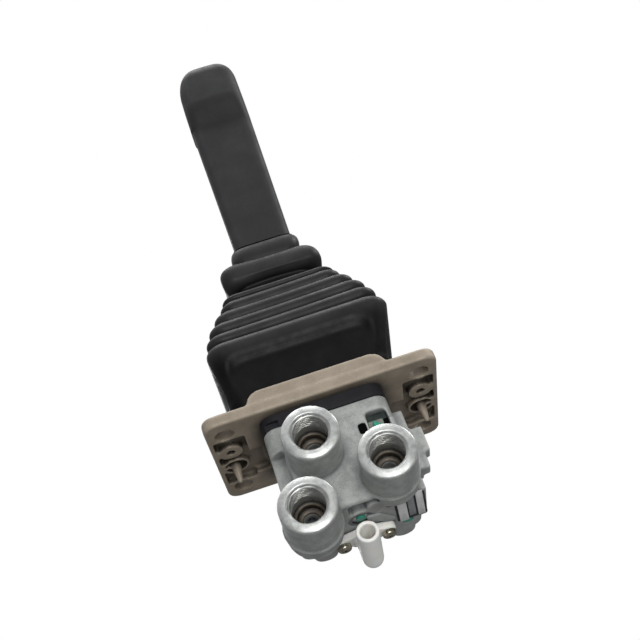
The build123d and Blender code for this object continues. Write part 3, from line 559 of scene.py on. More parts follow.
FINISHES = {
    # Zinc alloy pressed into a steel die and tumbled: even pale grey, satin, faint clouds; painted
    # shade darkens its recesses.
    "cast_zinc": Finish("pressure_cast_zinc_tumbled", ("8d908e", "9c9e9b", "aaaca8"), 0.15,
                        (0.56, 0.74), 5.0, 0.45, 0.035, 0.9, "bfc1be", 0.4, pits_mm=1.2,
                        painted_shade="5f6366", painted_shade_mm=4.0),
    # The same alloy in a yellow-brown passivation: tan, dull, worn pale on edges; dark brown
    # painted shade in its recesses.
    "passivated_zinc": Finish("pressure_cast_zinc_yellow_passivated",
                              ("887d6e", "938777", "9d9181"), 0.2, (0.5, 0.68), 9.0, 0.6,
                              0.03, 0.5, "aca190", 0.4, pits_mm=2.0,
                              painted_shade="2b251c", painted_shade_mm=8.0),
    # Glass-filled nylon from a spark-eroded mould: near black, even fine texture.
    "black_nylon": Finish("glass_filled_nylon_moulded", ("17171a", "1d1d20", "232327"), 0.0,
                          (0.42, 0.58), 6.0, 0.45, 0.03, 0.3, "343438", 0.25, specular=0.2),
    # Chloroprene rubber, compression moulded: soft black, waxy half gloss, painted highlight on
    # crests and upper faces, painted shade in creases.
    "boot_rubber": Finish("chloroprene_rubber_moulded", ("080808", "0c0c0c", "111111"), 0.0,
                          (0.38, 0.52), 11.0, 0.6, 0.02, 0.25, specular=0.14, painted_highlight="333232",
                          painted_shade="020202", painted_shade_mm=4.0),
    # Polyamide grip from an etched mould: dark grey, fine matt leather-like etch.
    "grip_polymer": Finish("polyamide_moulded_etched", ("272728", "2b2b2c", "303031"), 0.0,
                           (0.5, 0.62), 14.0, 0.55, 0.03, 0.35, "404041", 0.3, specular=0.16),
    # Unfilled nylon, injection moulded: milky white that lets light in.
    "natural_nylon": Finish("natural_nylon_moulded", ("f1f0ea", "f5f4ee", "f8f7f3"), 0.0,
                            (0.36, 0.48), 6.0, 0.8, 0.015, 0.2, subsurface=0.15, ior=1.53),
    # Acetal coloured in the mass: even teal, slightly waxy.
    "teal_acetal": Finish("acetal_moulded_teal", ("257e6b", "2f8f78", "3aa088"), 0.0,
                          (0.3, 0.42), 4.0, 0.5, 0.015, 0.2),
    # Bored and threaded in the casting: bright, with the tool's fine feed marks.
    "machined_aluminium": Finish("cast_zinc_bored_and_threaded", ("b4b6b5", "c6c8c6", "d2d4d2"),
                                 0.55, (0.28, 0.4), 5.0, 0.3, 0.012, 0.2),
    # Steel in bright zinc plate: cool grey, smooth, slightly mottled.
    "zinc_plated_steel": Finish("steel_zinc_plated", ("8f9193", "9fa1a3", "b0b2b4"), 0.9,
                                (0.28, 0.42), 3.0, 0.35, 0.012, 0.3),
    # Hardened steel, centreless ground: bright and fine.
    "ground_steel": Finish("steel_ground", ("a2a4a6", "b2b4b6", "bec0c2"), 1.0,
                           (0.18, 0.3), 3.0, 0.25, 0.006, 0.2),
    # Oiled spring wire: dark grey metal with a light brown cast.
    "spring_steel": Finish("spring_wire_oiled", ("5a5b5e", "6b6c6f", "7d7a76"), 0.9,
                           (0.3, 0.45), 2.5, 0.3, 0.01, 0.3),
    # Sintered bronze, oil filled: dull brown gold with open pores.
    "bronze": Finish("sintered_bronze", ("6b5f4f", "7b6f5e", "8c8070"), 0.6,
                     (0.4, 0.58), 2.5, 0.3, 0.02, 0.5, pits_mm=0.6),
    # Nitrile rubber seal: dull black.
    "nbr_rubber": Finish("nitrile_rubber_moulded", ("151516", "1c1c1e", "242426"), 0.0,
                         (0.45, 0.6), 3.0, 0.3, 0.01, 0.3, specular=0.3),
    # Screws in warm nickel plate: bright, browned in the corners.
    "nickel_steel": Finish("steel_nickel_plated", ("8a8168", "a59f8c", "c3bfb2"), 0.95,
                           (0.2, 0.34), 3.0, 0.4, 0.012, 0.35),
    # The bore metal with feed marks a quarter of a millimetre apart, coarser than real; painted
    # shade darkens its deeper, sheltered parts.
    "port_bore": Finish("cast_zinc_bored_with_feed_marks", ("aeb0ae", "c2c4c1", "d2d4d0"),
                        0.75, (0.3, 0.45), 3.0, 0.3, 0.012, 0.5, turned_mm=0.25,
                        painted_shade="6a6862", painted_shade_mm=5.0),
    # Seat face browned by sealing compound and oil, with painted shade in its sheltered corners.
    "seat": Finish("oiled_seat_washer", ("4a4235", "5d5344", "716654"), 0.3, (0.4, 0.55), 2.0,
                   0.3, 0.015, 0.5, painted_shade="120f0b", painted_shade_mm=6.0),
    # Painted shade: matt black sheets set in the slot and at the window's edge, where there is
    # only shadow.
    "painted_shade_black": Finish("matt_black_painted_shade", ("060606", "080808", "0b0b0b"), 0.0,
                    (0.8, 0.9), 3.0, 0.3, 0.01, 0.2, specular=0.03),
    # Painted steel cover behind the window: dark grey-green, and its lighter front.
    "dark_green": Finish("steel_painted_dark_green", ("2c3532", "343e3a", "3d4743"), 0.0,
                         (0.4, 0.55), 4.0, 0.4, 0.01, 0.25),
    "window_grey": Finish("steel_painted_grey_green", ("686d63", "74796f", "80857a"), 0.0,
                          (0.4, 0.55), 3.0, 0.4, 0.015, 0.35),
    # Inspection dot of yellow paint pen.
    "paint_dot": Finish("paint_pen_yellow", ("a8903a", "b89f42", "c6ad4e"), 0.0, (0.4, 0.55),
                        2.0, 0.3, 0.02, 0.3),
    # Vinyl label film, blank: satin white, and the same in grey.
    "label_white": Finish("vinyl_label_white", ("d4d4d2", "dededc", "e6e6e4"), 0.0,
                          (0.35, 0.48), 4.0, 0.4, 0.01, 0.2),
    "label_grey": Finish("vinyl_label_grey", ("7c7e80", "8a8c8e", "96989a"), 0.0,
                         (0.35, 0.48), 4.0, 0.4, 0.01, 0.2),
}


# ---------------------------------------------------------------- soft boot


@dataclass
class Boot:
    """Bellows boot from the collar to the foot of the grip, in millimetres."""

    foot: tuple[float, float] = (36.6, 32.4)
    foot_aside: float = 2.3
    foot_z: float = 5.6
    collar_z: float = 12.0
    shoulder: tuple[float, float] = (42.0, 35.5)
    shoulder_z: float = 36.8
    shoulder_top: float = 41.2
    ribs: tuple[tuple[float, float, float, float], ...] = (
        (44.6, 40.2, 33.0, 3.4), (51.5, 37.6, 30.4, 3.5), (58.8, 33.9, 26.9, 3.7),
        (66.1, 29.8, 23.0, 3.6))
    rib_depth: float = 3.9
    lip: tuple[float, float, float, float] = (71.5, 27.8, 21.0, 1.8)
    fold: tuple[float, float, float] = (85.3, 25.8, 19.8)
    fold_down: float = 7.4
    throat: tuple[tuple[float, float, float], ...] = ((75.3, 20.4, 13.9), (77.2, 20.2, 13.7))
    fold_up: float = 6.7
    neck: tuple[float, float, float] = (98.0, 17.4, 12.9)
    neck_half: float = 5.7
    top: tuple[float, float, float] = (104.2, 15.4, 11.2)
    wall: float = 2.2
    grip: tuple[float, float] = (14.2, 10.1)
    corners: tuple[float, float] = (8.5, 7.0)
    panel: tuple[float, float, float] = (31.0, 29.5, 5.0)
    panel_side: float = 25.5
    pinch: float = 2.2
    rib_pinch: float = 0.5
    aside: float = 0.8
    arch: float = 2.7
    slope: float = 0.36
    rib_tip: float = 0.02
    fold_tip: float = 0.055
    hug_z: float = 95.0
    panel_edge: tuple[float, float] = (-1.6, 3.6)
    ribs_between: tuple[float, float, float, float] = (38.0, 46.0, 68.0, 76.0)
    pinched_between: tuple[float, float, float, float] = (38.0, 46.0, 88.0, 94.0)
    aside_between: tuple[float, float, float, float] = (36.0, 48.0, 92.0, 103.0)
    slope_from: tuple[float, float] = (91.0, 97.0)
    painted_highlight_from: tuple[float, float] = (28.0, 37.0)

    def profile(self) -> np.ndarray:
        """Half sizes from the foot up.

        The skirt widens evenly up to the shoulder, which closes over a quarter ellipse. The
        ribs, the lip, the fold and the neck are half ellipses that meet in creases.

        Returns:
            Rows of height, half width, half depth, nearness to a crest from 0 to 1, corner
            radius and pinch.
        """
        rows = [(self.foot_z, self.foot[0] - 0.4, self.foot[1] - 0.4, 0.0),
                (self.foot_z + 0.4, *self.foot, 0.0)]
        for t in np.linspace(0.0, 1.0, 18):
            rows.append((self.collar_z + (self.shoulder_z - self.collar_z) * t,
                         self.foot[0] + (self.shoulder[0] - self.foot[0]) * t,
                         self.foot[1] + (self.shoulder[1] - self.foot[1]) * t, t ** 4))
        for turn in np.linspace(0.1, np.pi / 2.0, 12):
            reach = self.shoulder_top - self.shoulder_z
            drawn = 3.8 * (1.0 - np.cos(turn))
            rows.append((self.shoulder_z + reach * np.sin(turn), self.shoulder[0] - drawn,
                         self.shoulder[1] - drawn, 0.3 + 0.7 * np.cos(turn)))
        bumps = [(*rib[:3], rib[3], rib[3], self.rib_depth) for rib in self.ribs]
        bumps += [(*self.lip[:3], self.lip[3], self.lip[3], 2.8),
                  (*self.fold, self.fold_down, self.fold_up, 5.6),
                  (*self.neck, self.neck_half, self.neck_half, 2.2)]
        for z, half_x, half_y, down, up, depth in bumps:
            sine, cosine = half_round(30 if down > 5.0 else 15)
            power = 1.0 if down > 4.5 else 0.85
            rows += [(z + s * (down if s < 0 else up), half_x - depth * (1.0 - c ** power),
                      half_y - depth * (1.0 - c ** power), c) for s, c in zip(sine, cosine)]
        rows += [(*row, 0.0) for row in (self.top, *self.throat)]
        table = np.array(rows)
        table = table[np.argsort(table[:, 0], kind="stable")]
        share = (table[:, 0] - self.foot_z) / (self.top[0] - self.foot_z)
        corner = self.corners[0] + (self.corners[1] - self.corners[0]) * share
        corner += 1.6 * np.exp(-((table[:, 0] - self.fold[0]) / 8.0) ** 2)
        pinch = self.pinch * np.exp(-((table[:, 0] - self.fold[0]) / 7.0) ** 2)
        pinch += self.rib_pinch * between(self.pinched_between, table[:, 0])
        return np.column_stack([table, corner, pinch])

    def skin(self, table: np.ndarray, wall: float) -> np.ndarray:
        """Surface of the boot, drawn in by a wall.

        The middle of each face is pinched in by a share that falls with the square of the
        distance from the middle, and panels of the skirt stand upright between the flared
        corners. The fold's lower edge arches up in the middle, and every row tips a little.

        Args:
            table: Rows as profile() gives them.
            wall: Distance drawn in, less at the neck, where the boot hugs the grip.

        Returns:
            Points, rows by columns by 3.
        """
        z, half_x, half_y, _, corner, pinch = table.T
        room = np.minimum(half_x - self.grip[0], half_y - self.grip[1])
        inset = np.where(z > self.hug_z, np.clip(room, 0.3, wall), wall) * (wall > 0.0)
        runs = (crowded(26), crowded(22), crowded(26), crowded(22))
        low = 1.0 - np.clip((z - self.collar_z) / (self.shoulder_z - self.collar_z), 0, 1)
        aside = self.foot_aside * low
        plan = rounded_rings(half_x - inset + aside, half_x - inset - aside, half_y - inset,
                             half_y - inset, np.maximum(corner - inset, 1.0), 9, runs)
        x, y = plan[..., 0], plan[..., 1]
        span = np.maximum(half_x - inset, 1.0)[:, None], np.maximum(half_y - inset, 1.0)[:, None]
        across = 1.0 - np.clip(np.abs(x) / span[0], 0, 1) ** 2
        along = 1.0 - np.clip(np.abs(y) / span[1], 0, 1) ** 2
        up = np.maximum(z - (self.panel[1] - self.panel[2]), 0.0)[:, None]
        panels = []
        for reach, offset in ((self.panel[0], np.abs(x + 1.5)), (self.panel_side, np.abs(y))):
            out = np.maximum(offset - (reach - self.panel[2]), 0.0)
            panels.append(1.0 - smoothstep(*self.panel_edge, np.hypot(out, up) - self.panel[2]))
        over_y = np.maximum(np.abs(y) - (self.foot[1] + 0.05 - inset)[:, None], 0.0)
        over_x = np.maximum(np.abs(x + aside[:, None]) - (self.foot[0] + 0.05 - inset)[:, None],
                            0.0)
        y = y - np.sign(y) * (over_y * panels[0] + pinch[:, None] * across)
        x = x - np.sign(x) * (over_x * panels[1] + 0.6 * pinch[:, None] * along)
        tip = self.rib_tip * between(self.ribs_between, z)
        tip -= self.fold_tip * np.exp(-((z - self.fold[0] - 1.0) / 5.0) ** 2)
        lift = self.arch * np.exp(-((z - self.fold[0] + 6.6) / 3.0) ** 2)
        climb = self.slope * smoothstep(*self.slope_from, z)
        level = z[:, None] + tip[:, None] * x + lift[:, None] * across
        level = level + climb[:, None] * np.clip(y + self.top[2], 0.0, 14.0)
        x = x - self.aside * between(self.aside_between, z)[:, None]
        return np.stack([x, y, level], axis=-1)

    def build(self, finish: bpy.types.Material) -> None:
        """Make the boot, give it its finish and hide the CAD boot."""
        table = self.profile()
        outer = self.skin(table, 0.0)
        inner = self.skin(table, self.wall)[::-1]
        piece = mesh_object("bellows_boot", [np.concatenate([outer, inner])], ring=True,
                            crease=75.0)
        # Painted highlight: lighter rubber on the crests and upper faces above the skirt, standing
        # in for the top light.
        painted_highlight = smoothstep(*self.painted_highlight_from, table[:, 0]) * (0.15 + 0.85 * table[:, 3])
        mark_rows(piece, "painted_highlight", np.concatenate([painted_highlight, np.zeros(len(painted_highlight))]),
                  outer.shape[1])
        piece.data.materials.append(finish)
        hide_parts("boot")
        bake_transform(piece)
        LOG.info("bellows_boot: %d faces", len(piece.data.polygons))


# ---------------------------------------------------------------- grip


@dataclass
class Grip:
    """Paddle grip with a hooked head, moulded in two halves, in millimetres."""

    bottom: float = 96.0
    top: float = 230.5
    foot_half: float = 14.1
    head_half: float = 16.1
    depth_half: float = 10.0
    hook: float = 5.5
    hook_low: float = 184.5
    hook_high: float = 202.5
    step_z: float = 189.5
    step: float = 0.55
    bore: float = 5.03
    bore_top: float = 196.1
    edge: float = 4.6
    crown_left: float = 13.0
    crown_right: float = 10.5
    crown_depth: float = 9.0
    crown_height: float = 10.5
    sweep_left: float = 20.0
    sweep_right: float = 14.0
    crowning: float = 0.35
    seam: float = 0.14
    seam_half: float = 0.32
    nose_share: float = 0.4
    back_shallower: float = 0.6

    def quarter(self, z: np.ndarray, height: float) -> np.ndarray:
        """One less the root of one less s squared, s going from 0 to 1 over the top height."""
        s = np.clip((z - self.top + height) / height, 0.0, 1.0)
        return 1.0 - np.sqrt(1.0 - s ** 2)

    def build(self, finish: bpy.types.Material) -> None:
        """Make the grip.

        Rounded rectangles rise from the foot. Their front moves out by a smooth step at the
        hook, most in the middle, and draws in over the crown by a radius times one less a
        cosine. Each side draws in along its own quarter ellipse, taller on the left.
        Both broad faces swell by a share that falls with the square of the distance from the
        middle, and a raised line runs up both narrow sides where the mould halves met.
        """
        rise = np.concatenate([np.linspace(self.bottom + 1.2, self.hook_low, 50)[:-1],
                               np.linspace(self.hook_low, self.top - self.crown_height, 40)])
        turn = np.linspace(0.0, np.pi / 2.0, 16)[1:]
        z = np.concatenate([[self.bottom], rise,
                            self.top - self.crown_height * (1.0 - np.sin(turn))])
        drawn = np.concatenate([np.zeros(len(rise) + 1), 1.0 - np.cos(turn)])
        share = np.clip((z - self.bottom) / (self.step_z - self.bottom), 0.0, 1.0)
        half = self.foot_half + (self.head_half - self.foot_half) * share
        notch = self.step * (1.0 - smoothstep(self.step_z - 0.7, self.step_z + 0.7, z))
        out = self.hook * smoothstep(self.hook_low, self.hook_high, z)
        left = half - notch * share - self.crown_left * self.quarter(z, self.sweep_left)
        right = half - self.crown_right * self.quarter(z, self.sweep_right)
        front = self.depth_half + (1.0 - self.nose_share) * out - self.crown_depth * drawn
        back = self.depth_half - (self.crown_depth - self.back_shallower) * drawn
        edge = np.minimum(self.edge + 1.6 * smoothstep(self.hook_low, self.hook_high, z),
                          0.92 * np.minimum((left + right) / 2.0, (front + back) / 2.0))
        for side in (left, right, front, back):
            side[0] -= 1.0
        edge[0] -= 1.0
        narrow = np.sort(np.concatenate([crowded(8), np.linspace(0.4, 0.6, 13)]))
        runs = (crowded(14), narrow, crowded(14), narrow)
        plan = rounded_rings(left, right, front, back, edge, 8, runs)
        x, y = plan[..., 0], plan[..., 1]
        across = 1.0 - np.clip(np.abs(x) / half[:, None], 0, 1) ** 2
        side_on = smoothstep(0.75, 0.98, np.abs(x) / half[:, None])
        line = np.exp(-(y / self.seam_half) ** 2) * side_on * self.seam
        y = y + np.sign(y) * self.crowning * across * (1.0 - drawn[:, None])
        y = y - self.nose_share * out[:, None] * np.sqrt(across) * (1.0 - 0.6 * drawn[:, None]) * (
            y < 0.5 - 0.5 * front[:, None])
        x = x + np.sign(x) * line
        outer = raised(np.stack([x, y], axis=-1), z)
        bore_z = np.array([self.bore_top, self.bore_top - 0.5, self.bottom + 0.4, self.bottom])
        bore_r = np.array([self.bore - 0.8, self.bore, self.bore, self.bore + 0.4])
        inner = raised(rounded_rings(bore_r, bore_r, bore_r, bore_r, bore_r * 0.999, 8, runs),
                       bore_z)
        piece = mesh_object("hooked_grip", [np.concatenate([inner, outer])], crease=60.0)
        seat_piece(piece, Body.LEVER, finish, ["grip"])


# ---------------------------------------------------------------- castings


@dataclass
class Ports:
    """Three threaded ports in the valve body, in millimetres."""

    places: tuple[tuple[float, float], ...] = ((-10.0, -23.5), (16.4, -41.7), (-19.9, -52.7))
    mouth: float = -51.5
    body_face: float = -30.8
    boss_r: float = 12.0
    face_r: float = 11.7
    minor_r: float = 7.25
    major_r: float = 8.0
    pitch: float = 1.5
    chamfer: float = 1.3
    depth: float = 14.2
    threaded: float = 10.5
    ring_depth: float = 17.4
    core_depth: float = 24.0
    seat_r: float = 6.2
    buried_r: float = 9.2
    bored_r: float = 8.6
    flare: float = 0.7

    def cutters(self) -> list[bpy.types.Object]:
        """Bars that open the casting for the threaded surfaces and trim the boss faces."""
        tools = []
        for number, place in enumerate(self.places):
            tools.append(bar(f"bore_{number}", place, self.bored_r, self.mouth - 2.0,
                             self.mouth + self.depth + 1.0))
            tools.append(bar(f"deep_{number}", place, self.seat_r, self.mouth + 5.0,
                             self.mouth + self.ring_depth + 0.6))
            tools.append(bar(f"core_{number}", place, 3.3, self.mouth + 5.0,
                             self.mouth + self.core_depth))
            tools.append(bar(f"trim_{number}", place, self.boss_r + 1.0,
                             self.mouth - 1.0, self.mouth + 0.35))
        return tools

    def flares(self) -> list[bpy.types.Object]:
        """Concave rings where the bosses spring from the body.

        The outside follows a quarter circle that is tangent to the boss and to the face.
        """
        turn = np.linspace(0.0, np.pi / 2.0, 9)
        radius = self.boss_r + self.flare * (1.0 - np.cos(turn))
        along = self.body_face - self.flare * (1.0 - np.sin(turn))
        radius = np.concatenate([radius, [radius[-1], self.boss_r - 1.5, self.boss_r - 1.5]])
        along = np.concatenate([along, [self.body_face + 1.0, self.body_face + 1.0,
                                        self.body_face - self.flare]])
        return [mesh_object(f"flare_{number}", [turned(radius, along, place)], ring=True)
                for number, place in enumerate(self.places)]

    def liner(self, place: tuple[float, float]) -> tuple[np.ndarray, np.ndarray]:
        """Machined mouth, chamfer and thread of a port as one closed ring.

        The thread's radius goes from the minor to the major radius and back over a pitch, as
        a flattened wave of the depth less the turn, so that the groove climbs one pitch a
        turn. It fades in over the chamfer and out over the last pitch.

        Args:
            place: X and Z of the port's axis.

        Returns:
            Points, rows by columns by 3, and each row's distance along the profile.
        """
        deep = np.arange(0.0, self.depth, 0.14)
        turn = np.linspace(0.0, 1.0, 96, endpoint=False)[None, :]
        phase = deep[:, None] / self.pitch - turn
        wave = np.clip(0.5 + 0.72 * np.sin(2.0 * np.pi * phase), 0.0, 1.0)
        fade = 1.0 - smoothstep(self.threaded - 1.6, self.threaded, deep)[:, None]
        thread = self.minor_r + (self.major_r - self.minor_r) * wave * fade
        cone = self.minor_r + self.chamfer - deep[:, None]
        bore = np.maximum(thread, cone)
        plain = np.ones((1, turn.shape[1]))
        before = [self.buried_r, self.buried_r, self.face_r - 0.2, self.face_r,
                  self.face_r - 0.35, self.minor_r + self.chamfer + 0.25]
        levels = [self.depth + 0.5, 0.75, 0.75, 0.4, 0.04, 0.0]
        radius = np.concatenate([*(plain * r for r in before), bore,
                                 plain * self.minor_r, plain * self.minor_r])
        along = np.concatenate([levels, deep + 0.02, [self.depth, self.depth + 0.5]])
        middle = radius.mean(axis=1)
        feed = np.concatenate([[0.0], np.cumsum(np.hypot(np.diff(middle), np.diff(along)))])
        return turned(radius, self.mouth + along, place), feed

    def build(self, finishes: dict[str, bpy.types.Material]) -> None:
        """Make the threaded liners and the browned seats at their feet."""
        seats: list[np.ndarray] = []
        for number, place in enumerate(self.places):
            grid, feed = self.liner(place)
            piece = mesh_object(f"port_thread_{number}", [grid], ring=True, crease=50.0)
            mark_rows(piece, "feed", feed, grid.shape[1])
            seat_piece(piece, Body.HOUSING, finishes["port_bore"])
            depth = self.depth + np.array([0.9, 0.2, 0.05, 0.05, 0.3, 0.5, 3.2, 3.2])
            seats.append(turned([7.7, 7.7, 7.0, 6.2, 5.75, 5.7, 5.7, 7.7],
                                self.mouth + depth, place))
            depth = self.ring_depth + np.array([0.9, 0.0, -0.15, -0.15, 0.2, 0.6, 0.9])
            seats.append(turned([5.65, 5.65, 5.4, 4.3, 3.6, 3.4, 3.4], self.mouth + depth,
                                place))
        piece = mesh_object("port_seats", seats, ring=True, crease=30.0)
        seat_piece(piece, Body.HOUSING, finishes["seat"], ["port_seat_rings"])


@dataclass
class Castings:
    """The valve body and the mounting plate as they come from their dies."""

    body_cell: float = 0.72
    plate_cell: float = 0.68

    def build(self, ports: Ports, finishes: dict[str, bpy.types.Material]) -> None:
        """Make both castings from merged copies of their CAD nodes."""
        body = cast_copy("cast_valve_body", "valve_body", ports.flares(), ports.cutters(),
                         self.body_cell, 3)
        seat_piece(body, Body.HOUSING, finishes["cast_zinc"], ["valve_body"])
        plate = cast_copy("cast_mounting_plate", "mounting_plate", [], [], self.plate_cell, 3)
        seat_piece(plate, Body.HOUSING, finishes["passivated_zinc"],
                   ["mounting_plate"])


# ---------------------------------------------------------------- vent elbow


@dataclass
class VentElbow:
    """Moulded vent elbow: an eared flange and a bent tube, in millimetres."""

    y: float = 1.0
    top: float = -50.0
    corner_z: float = -63.2
    mouth: tuple[float, float] = (-25.0, -60.4)
    tube_r: tuple[float, float] = (4.55, 4.9)
    bore_r: float = 3.2
    bend: float = 3.4
    flange: float = 3.5
    hub_r: float = 6.4
    ear_r: float = 3.6
    ear_x: float = 10.0
    cell: float = 0.34

    def tube(self) -> np.ndarray:
        """Tube along a drop, a tight bend and a rising run, out and back inside.

        The bend is a parabola between points one bend length before and after the corner.
        Each ring stands square to the path: its centre plus the radius times the cosine along
        X and the sine along the path's own normal. The lip at the mouth is a half circle.

        Returns:
            Points, rows by columns by 3.
        """
        corner = np.array([self.y, self.corner_z])
        run = np.array(self.mouth) - corner
        reach = float(np.linalg.norm(run))
        way = run / reach
        before, after = corner + (0.0, self.bend), corner + way * self.bend
        t = np.linspace(0.0, 1.0, 14)[:, None]
        bend = (1 - t) ** 2 * before + 2 * t * (1 - t) * corner + t ** 2 * after
        drop = np.column_stack([np.full(5, self.y),
                                np.linspace(self.top, before[1], 6)[:-1]])
        ahead = np.linspace(self.bend, reach - 0.85, 14)[1:, None]
        path = np.concatenate([drop, bend, corner + way * ahead])
        step = np.gradient(path, axis=0)
        step /= np.linalg.norm(step, axis=1, keepdims=True)
        outer_r = self.tube_r[0] + (self.tube_r[1] - self.tube_r[0]) * np.clip(
            (self.y - path[:, 0]) / (self.y - self.mouth[0]), 0.0, 1.0)
        outer_r = outer_r + 0.9 * np.exp(-((path[:, 1] - (self.top - self.flange)) / 1.6) ** 2)
        lip = (self.tube_r[1] - self.bore_r) / 2.0
        sweep = np.linspace(0.0, np.pi, 9)[1:-1]
        beyond = path[-1] + step[-1] * (lip * np.sin(sweep))[:, None]
        lip_r = self.bore_r + lip + lip * np.cos(sweep)
        centres = np.concatenate([path, beyond, path[::-1]])
        ways = np.concatenate([step, np.repeat(step[-1:], len(sweep), 0), step[::-1]])
        radius = np.concatenate([outer_r, lip_r, np.full(len(path), self.bore_r)])
        angle = np.linspace(0.0, 2.0 * np.pi, 48, endpoint=False)[None, :]
        x = radius[:, None] * np.cos(angle)
        y = centres[:, :1] - radius[:, None] * np.sin(angle) * ways[:, 1:]
        z = centres[:, 1:] + radius[:, None] * np.sin(angle) * ways[:, :1]
        return np.stack([x, y, z], axis=-1)

    def plate(self) -> np.ndarray:
        """Flange: a band round the hub and both ears, with softened edges."""
        inset = np.array([0.5, 0.0, 0.0, 0.25, 0.8])
        level = self.top - np.array([0.02, 0.4, self.flange - 0.8, self.flange - 0.2,
                                     self.flange])
        discs = ((0.0, self.y, self.hub_r), (-self.ear_x, self.y, self.ear_r),
                 (self.ear_x, self.y, self.ear_r))
        return raised(hull_rows(discs, inset, 120), level)

    def build(self, finish: bpy.types.Material) -> None:
        """Make the elbow as one skin with the tube blended into the flange."""
        tube = mesh_object("vent_tube", [self.tube()], ring=True)
        flange = mesh_object("vent_flange", [self.plate()])
        piece = fused("moulded_vent_elbow", [tube, flange], self.cell, 4, 60.0)
        seat_piece(piece, Body.HOUSING, finish, ["vent_elbow"])


# ---------------------------------------------------------------- small fittings


def slab(name: str, centre: Sequence[float], size: Sequence[float], corner: float,
         edge: float) -> bpy.types.Object:
    """A small plate or block with rounded corners and softened edges, along Z.

    Args:
        name: Name of the piece.
        centre: Its middle, in millimetres.
        size: Its full sizes.
        corner: Corner radius in plan.
        edge: Radius of the top and bottom edges.

    Returns:
        The new object.
    """
    inset = np.array([edge, edge * 0.3, 0.0, 0.0, edge * 0.3, edge])
    half = size[2] / 2.0
    level = np.array([-half, -half + edge * 0.3, -half + edge, half - edge,
                      half - edge * 0.3, half])
    wide, deep = size[0] / 2.0 - inset, size[1] / 2.0 - inset
    plan = rounded_rings(wide, wide, deep, deep, np.maximum(corner - inset, 0.05), 5,
                         (crowded(3),) * 4)
    return mesh_object(name, [raised(plan, level) + np.asarray(centre, float)])


@dataclass(frozen=True)
class Trim:
    """A small slab: its place, full sizes, corner and edge radii, slot, finish and turn."""

    name: str
    centre: tuple[float, float, float]
    size: tuple[float, float, float]
    corner: float
    edge: float
    slot: str
    finish: str
    tilt: float = 0.0

    def build(self, finishes: dict[str, bpy.types.Material]) -> None:
        """Make the slab about the origin, turn it by its tilt and set it in place."""
        if self.tilt:
            piece = slab(self.name, (0.0, 0.0, 0.0), self.size, self.corner, self.edge)
            place = Matrix.Translation(Vector(self.centre) * MM)
            piece.data.transform(place @ Matrix.Rotation(np.radians(-self.tilt), 4, "Z"))
        else:
            piece = slab(self.name, self.centre, self.size, self.corner, self.edge)
        seat_piece(piece, Body.HOUSING, finishes[self.finish])


@dataclass
class Fittings:
    """What shows in the body's window and on its underside, in millimetres."""

    underside: float = -50.0
    ridge: tuple[tuple[float, float, float], ...] = (
        (3.6, -12.4, 1.5), (7.0, -10.6, 2.6), (12.0, -4.0, 2.6))
    wedge: tuple[tuple[float, float, float], ...] = (
        (17.5, -17.3, 0.35), (20.9, -20.2, 0.35), (17.4, -21.4, 0.35))
    stickers: tuple[Trim, ...] = (
        Trim("label_backing", (21.6, -9.0, -50.06), (13.4, 23.6, 0.14), 0.8, 0.04,
             "black_nylon", "black_nylon", 2.6),
        Trim("blank_label_0", (17.9, -8.7, -50.2), (3.9, 24.6, 0.16), 0.5, 0.05,
             "natural_nylon", "label_white", 2.6),
        Trim("blank_label_1", (21.9, -9.8, -50.2), (2.9, 20.0, 0.16), 0.5, 0.05,
             "natural_nylon", "label_grey", 2.6),
        Trim("blank_label_2", (25.8, -10.4, -50.2), (3.1, 25.0, 0.16), 0.5, 0.05,
             "natural_nylon", "label_white", 2.6),
        Trim("paint_dot", (21.5, -21.2, -50.24), (1.9, 1.7, 0.2), 0.8, 0.08,
             "natural_nylon", "paint_dot"))
    openings: tuple[Trim, ...] = (
        Trim("window_lining", (19.5, -25.4, -18.75), (8.8, 1.4, 12.3), 0.3, 0.2,
             "nbr_rubber", "dark_green"),
        Trim("window_post", (18.3, -27.2, -21.2), (6.9, 3.4, 9.4), 0.8, 0.3,
             "cast_zinc", "window_grey"),
        # A black sheet of painted shade where the window's right side lies in shadow.
        Trim("window_gap_shade_sheet", (22.9, -27.0, -21.2), (2.2, 2.6, 9.0), 0.3, 0.2,
             "nbr_rubber", "painted_shade_black"))
    # A black sheet of painted shade set in the slot's mouth.
    slot: Trim = Trim("slot_shade_sheet", (12.2, -29.1, -19.1), (3.3, 2.2, 5.1), 0.1, 0.05,
                      "nbr_rubber", "painted_shade_black")

    def build(self, finishes: dict[str, bpy.types.Material]) -> None:
        """Make the labels, the paint dot, the window's parts, the ridge and the slot's black sheet
        of painted shade.
        """
        for trim in (*self.stickers, *self.openings):
            trim.build(finishes)
        plan = hull_rows(self.wedge, np.array([0.25, 0.0, 0.0, 0.25]), 48)
        depth = np.array([-30.0, -29.7, -28.2, -27.9])
        depth = np.broadcast_to(depth[:, None], plan.shape[:2])
        wedge = mesh_object("window_wedge", [np.stack([plan[..., 0], depth, plan[..., 1]], -1)])
        seat_piece(wedge, Body.HOUSING, finishes["teal_acetal"])
        plan = hull_rows(self.ridge, np.array([0.0, 0.0, 0.3, 1.4]), 64)
        level = self.underside + np.array([0.6, -0.1, -0.6, -0.8])
        ridge = mesh_object("underside_ridge", [raised(plan, level)])
        seat_piece(ridge, Body.HOUSING, finishes["cast_zinc"])
        self.slot.build(finishes)


def dress_cad_nodes(finishes: dict[str, bpy.types.Material]) -> None:
    """Give each CAD node the finish of its slot in the record."""
    slots = {part["node"]: part["material_slot"] for part in frame["record"]["subparts"]}
    for name, node in NODES.items():
        finish = finishes[slots[name]]
        if not node.data.materials:
            node.data.materials.append(finish)
        for slot in node.material_slots:
            slot.material = finish


# ---------------------------------------------------------------- stage


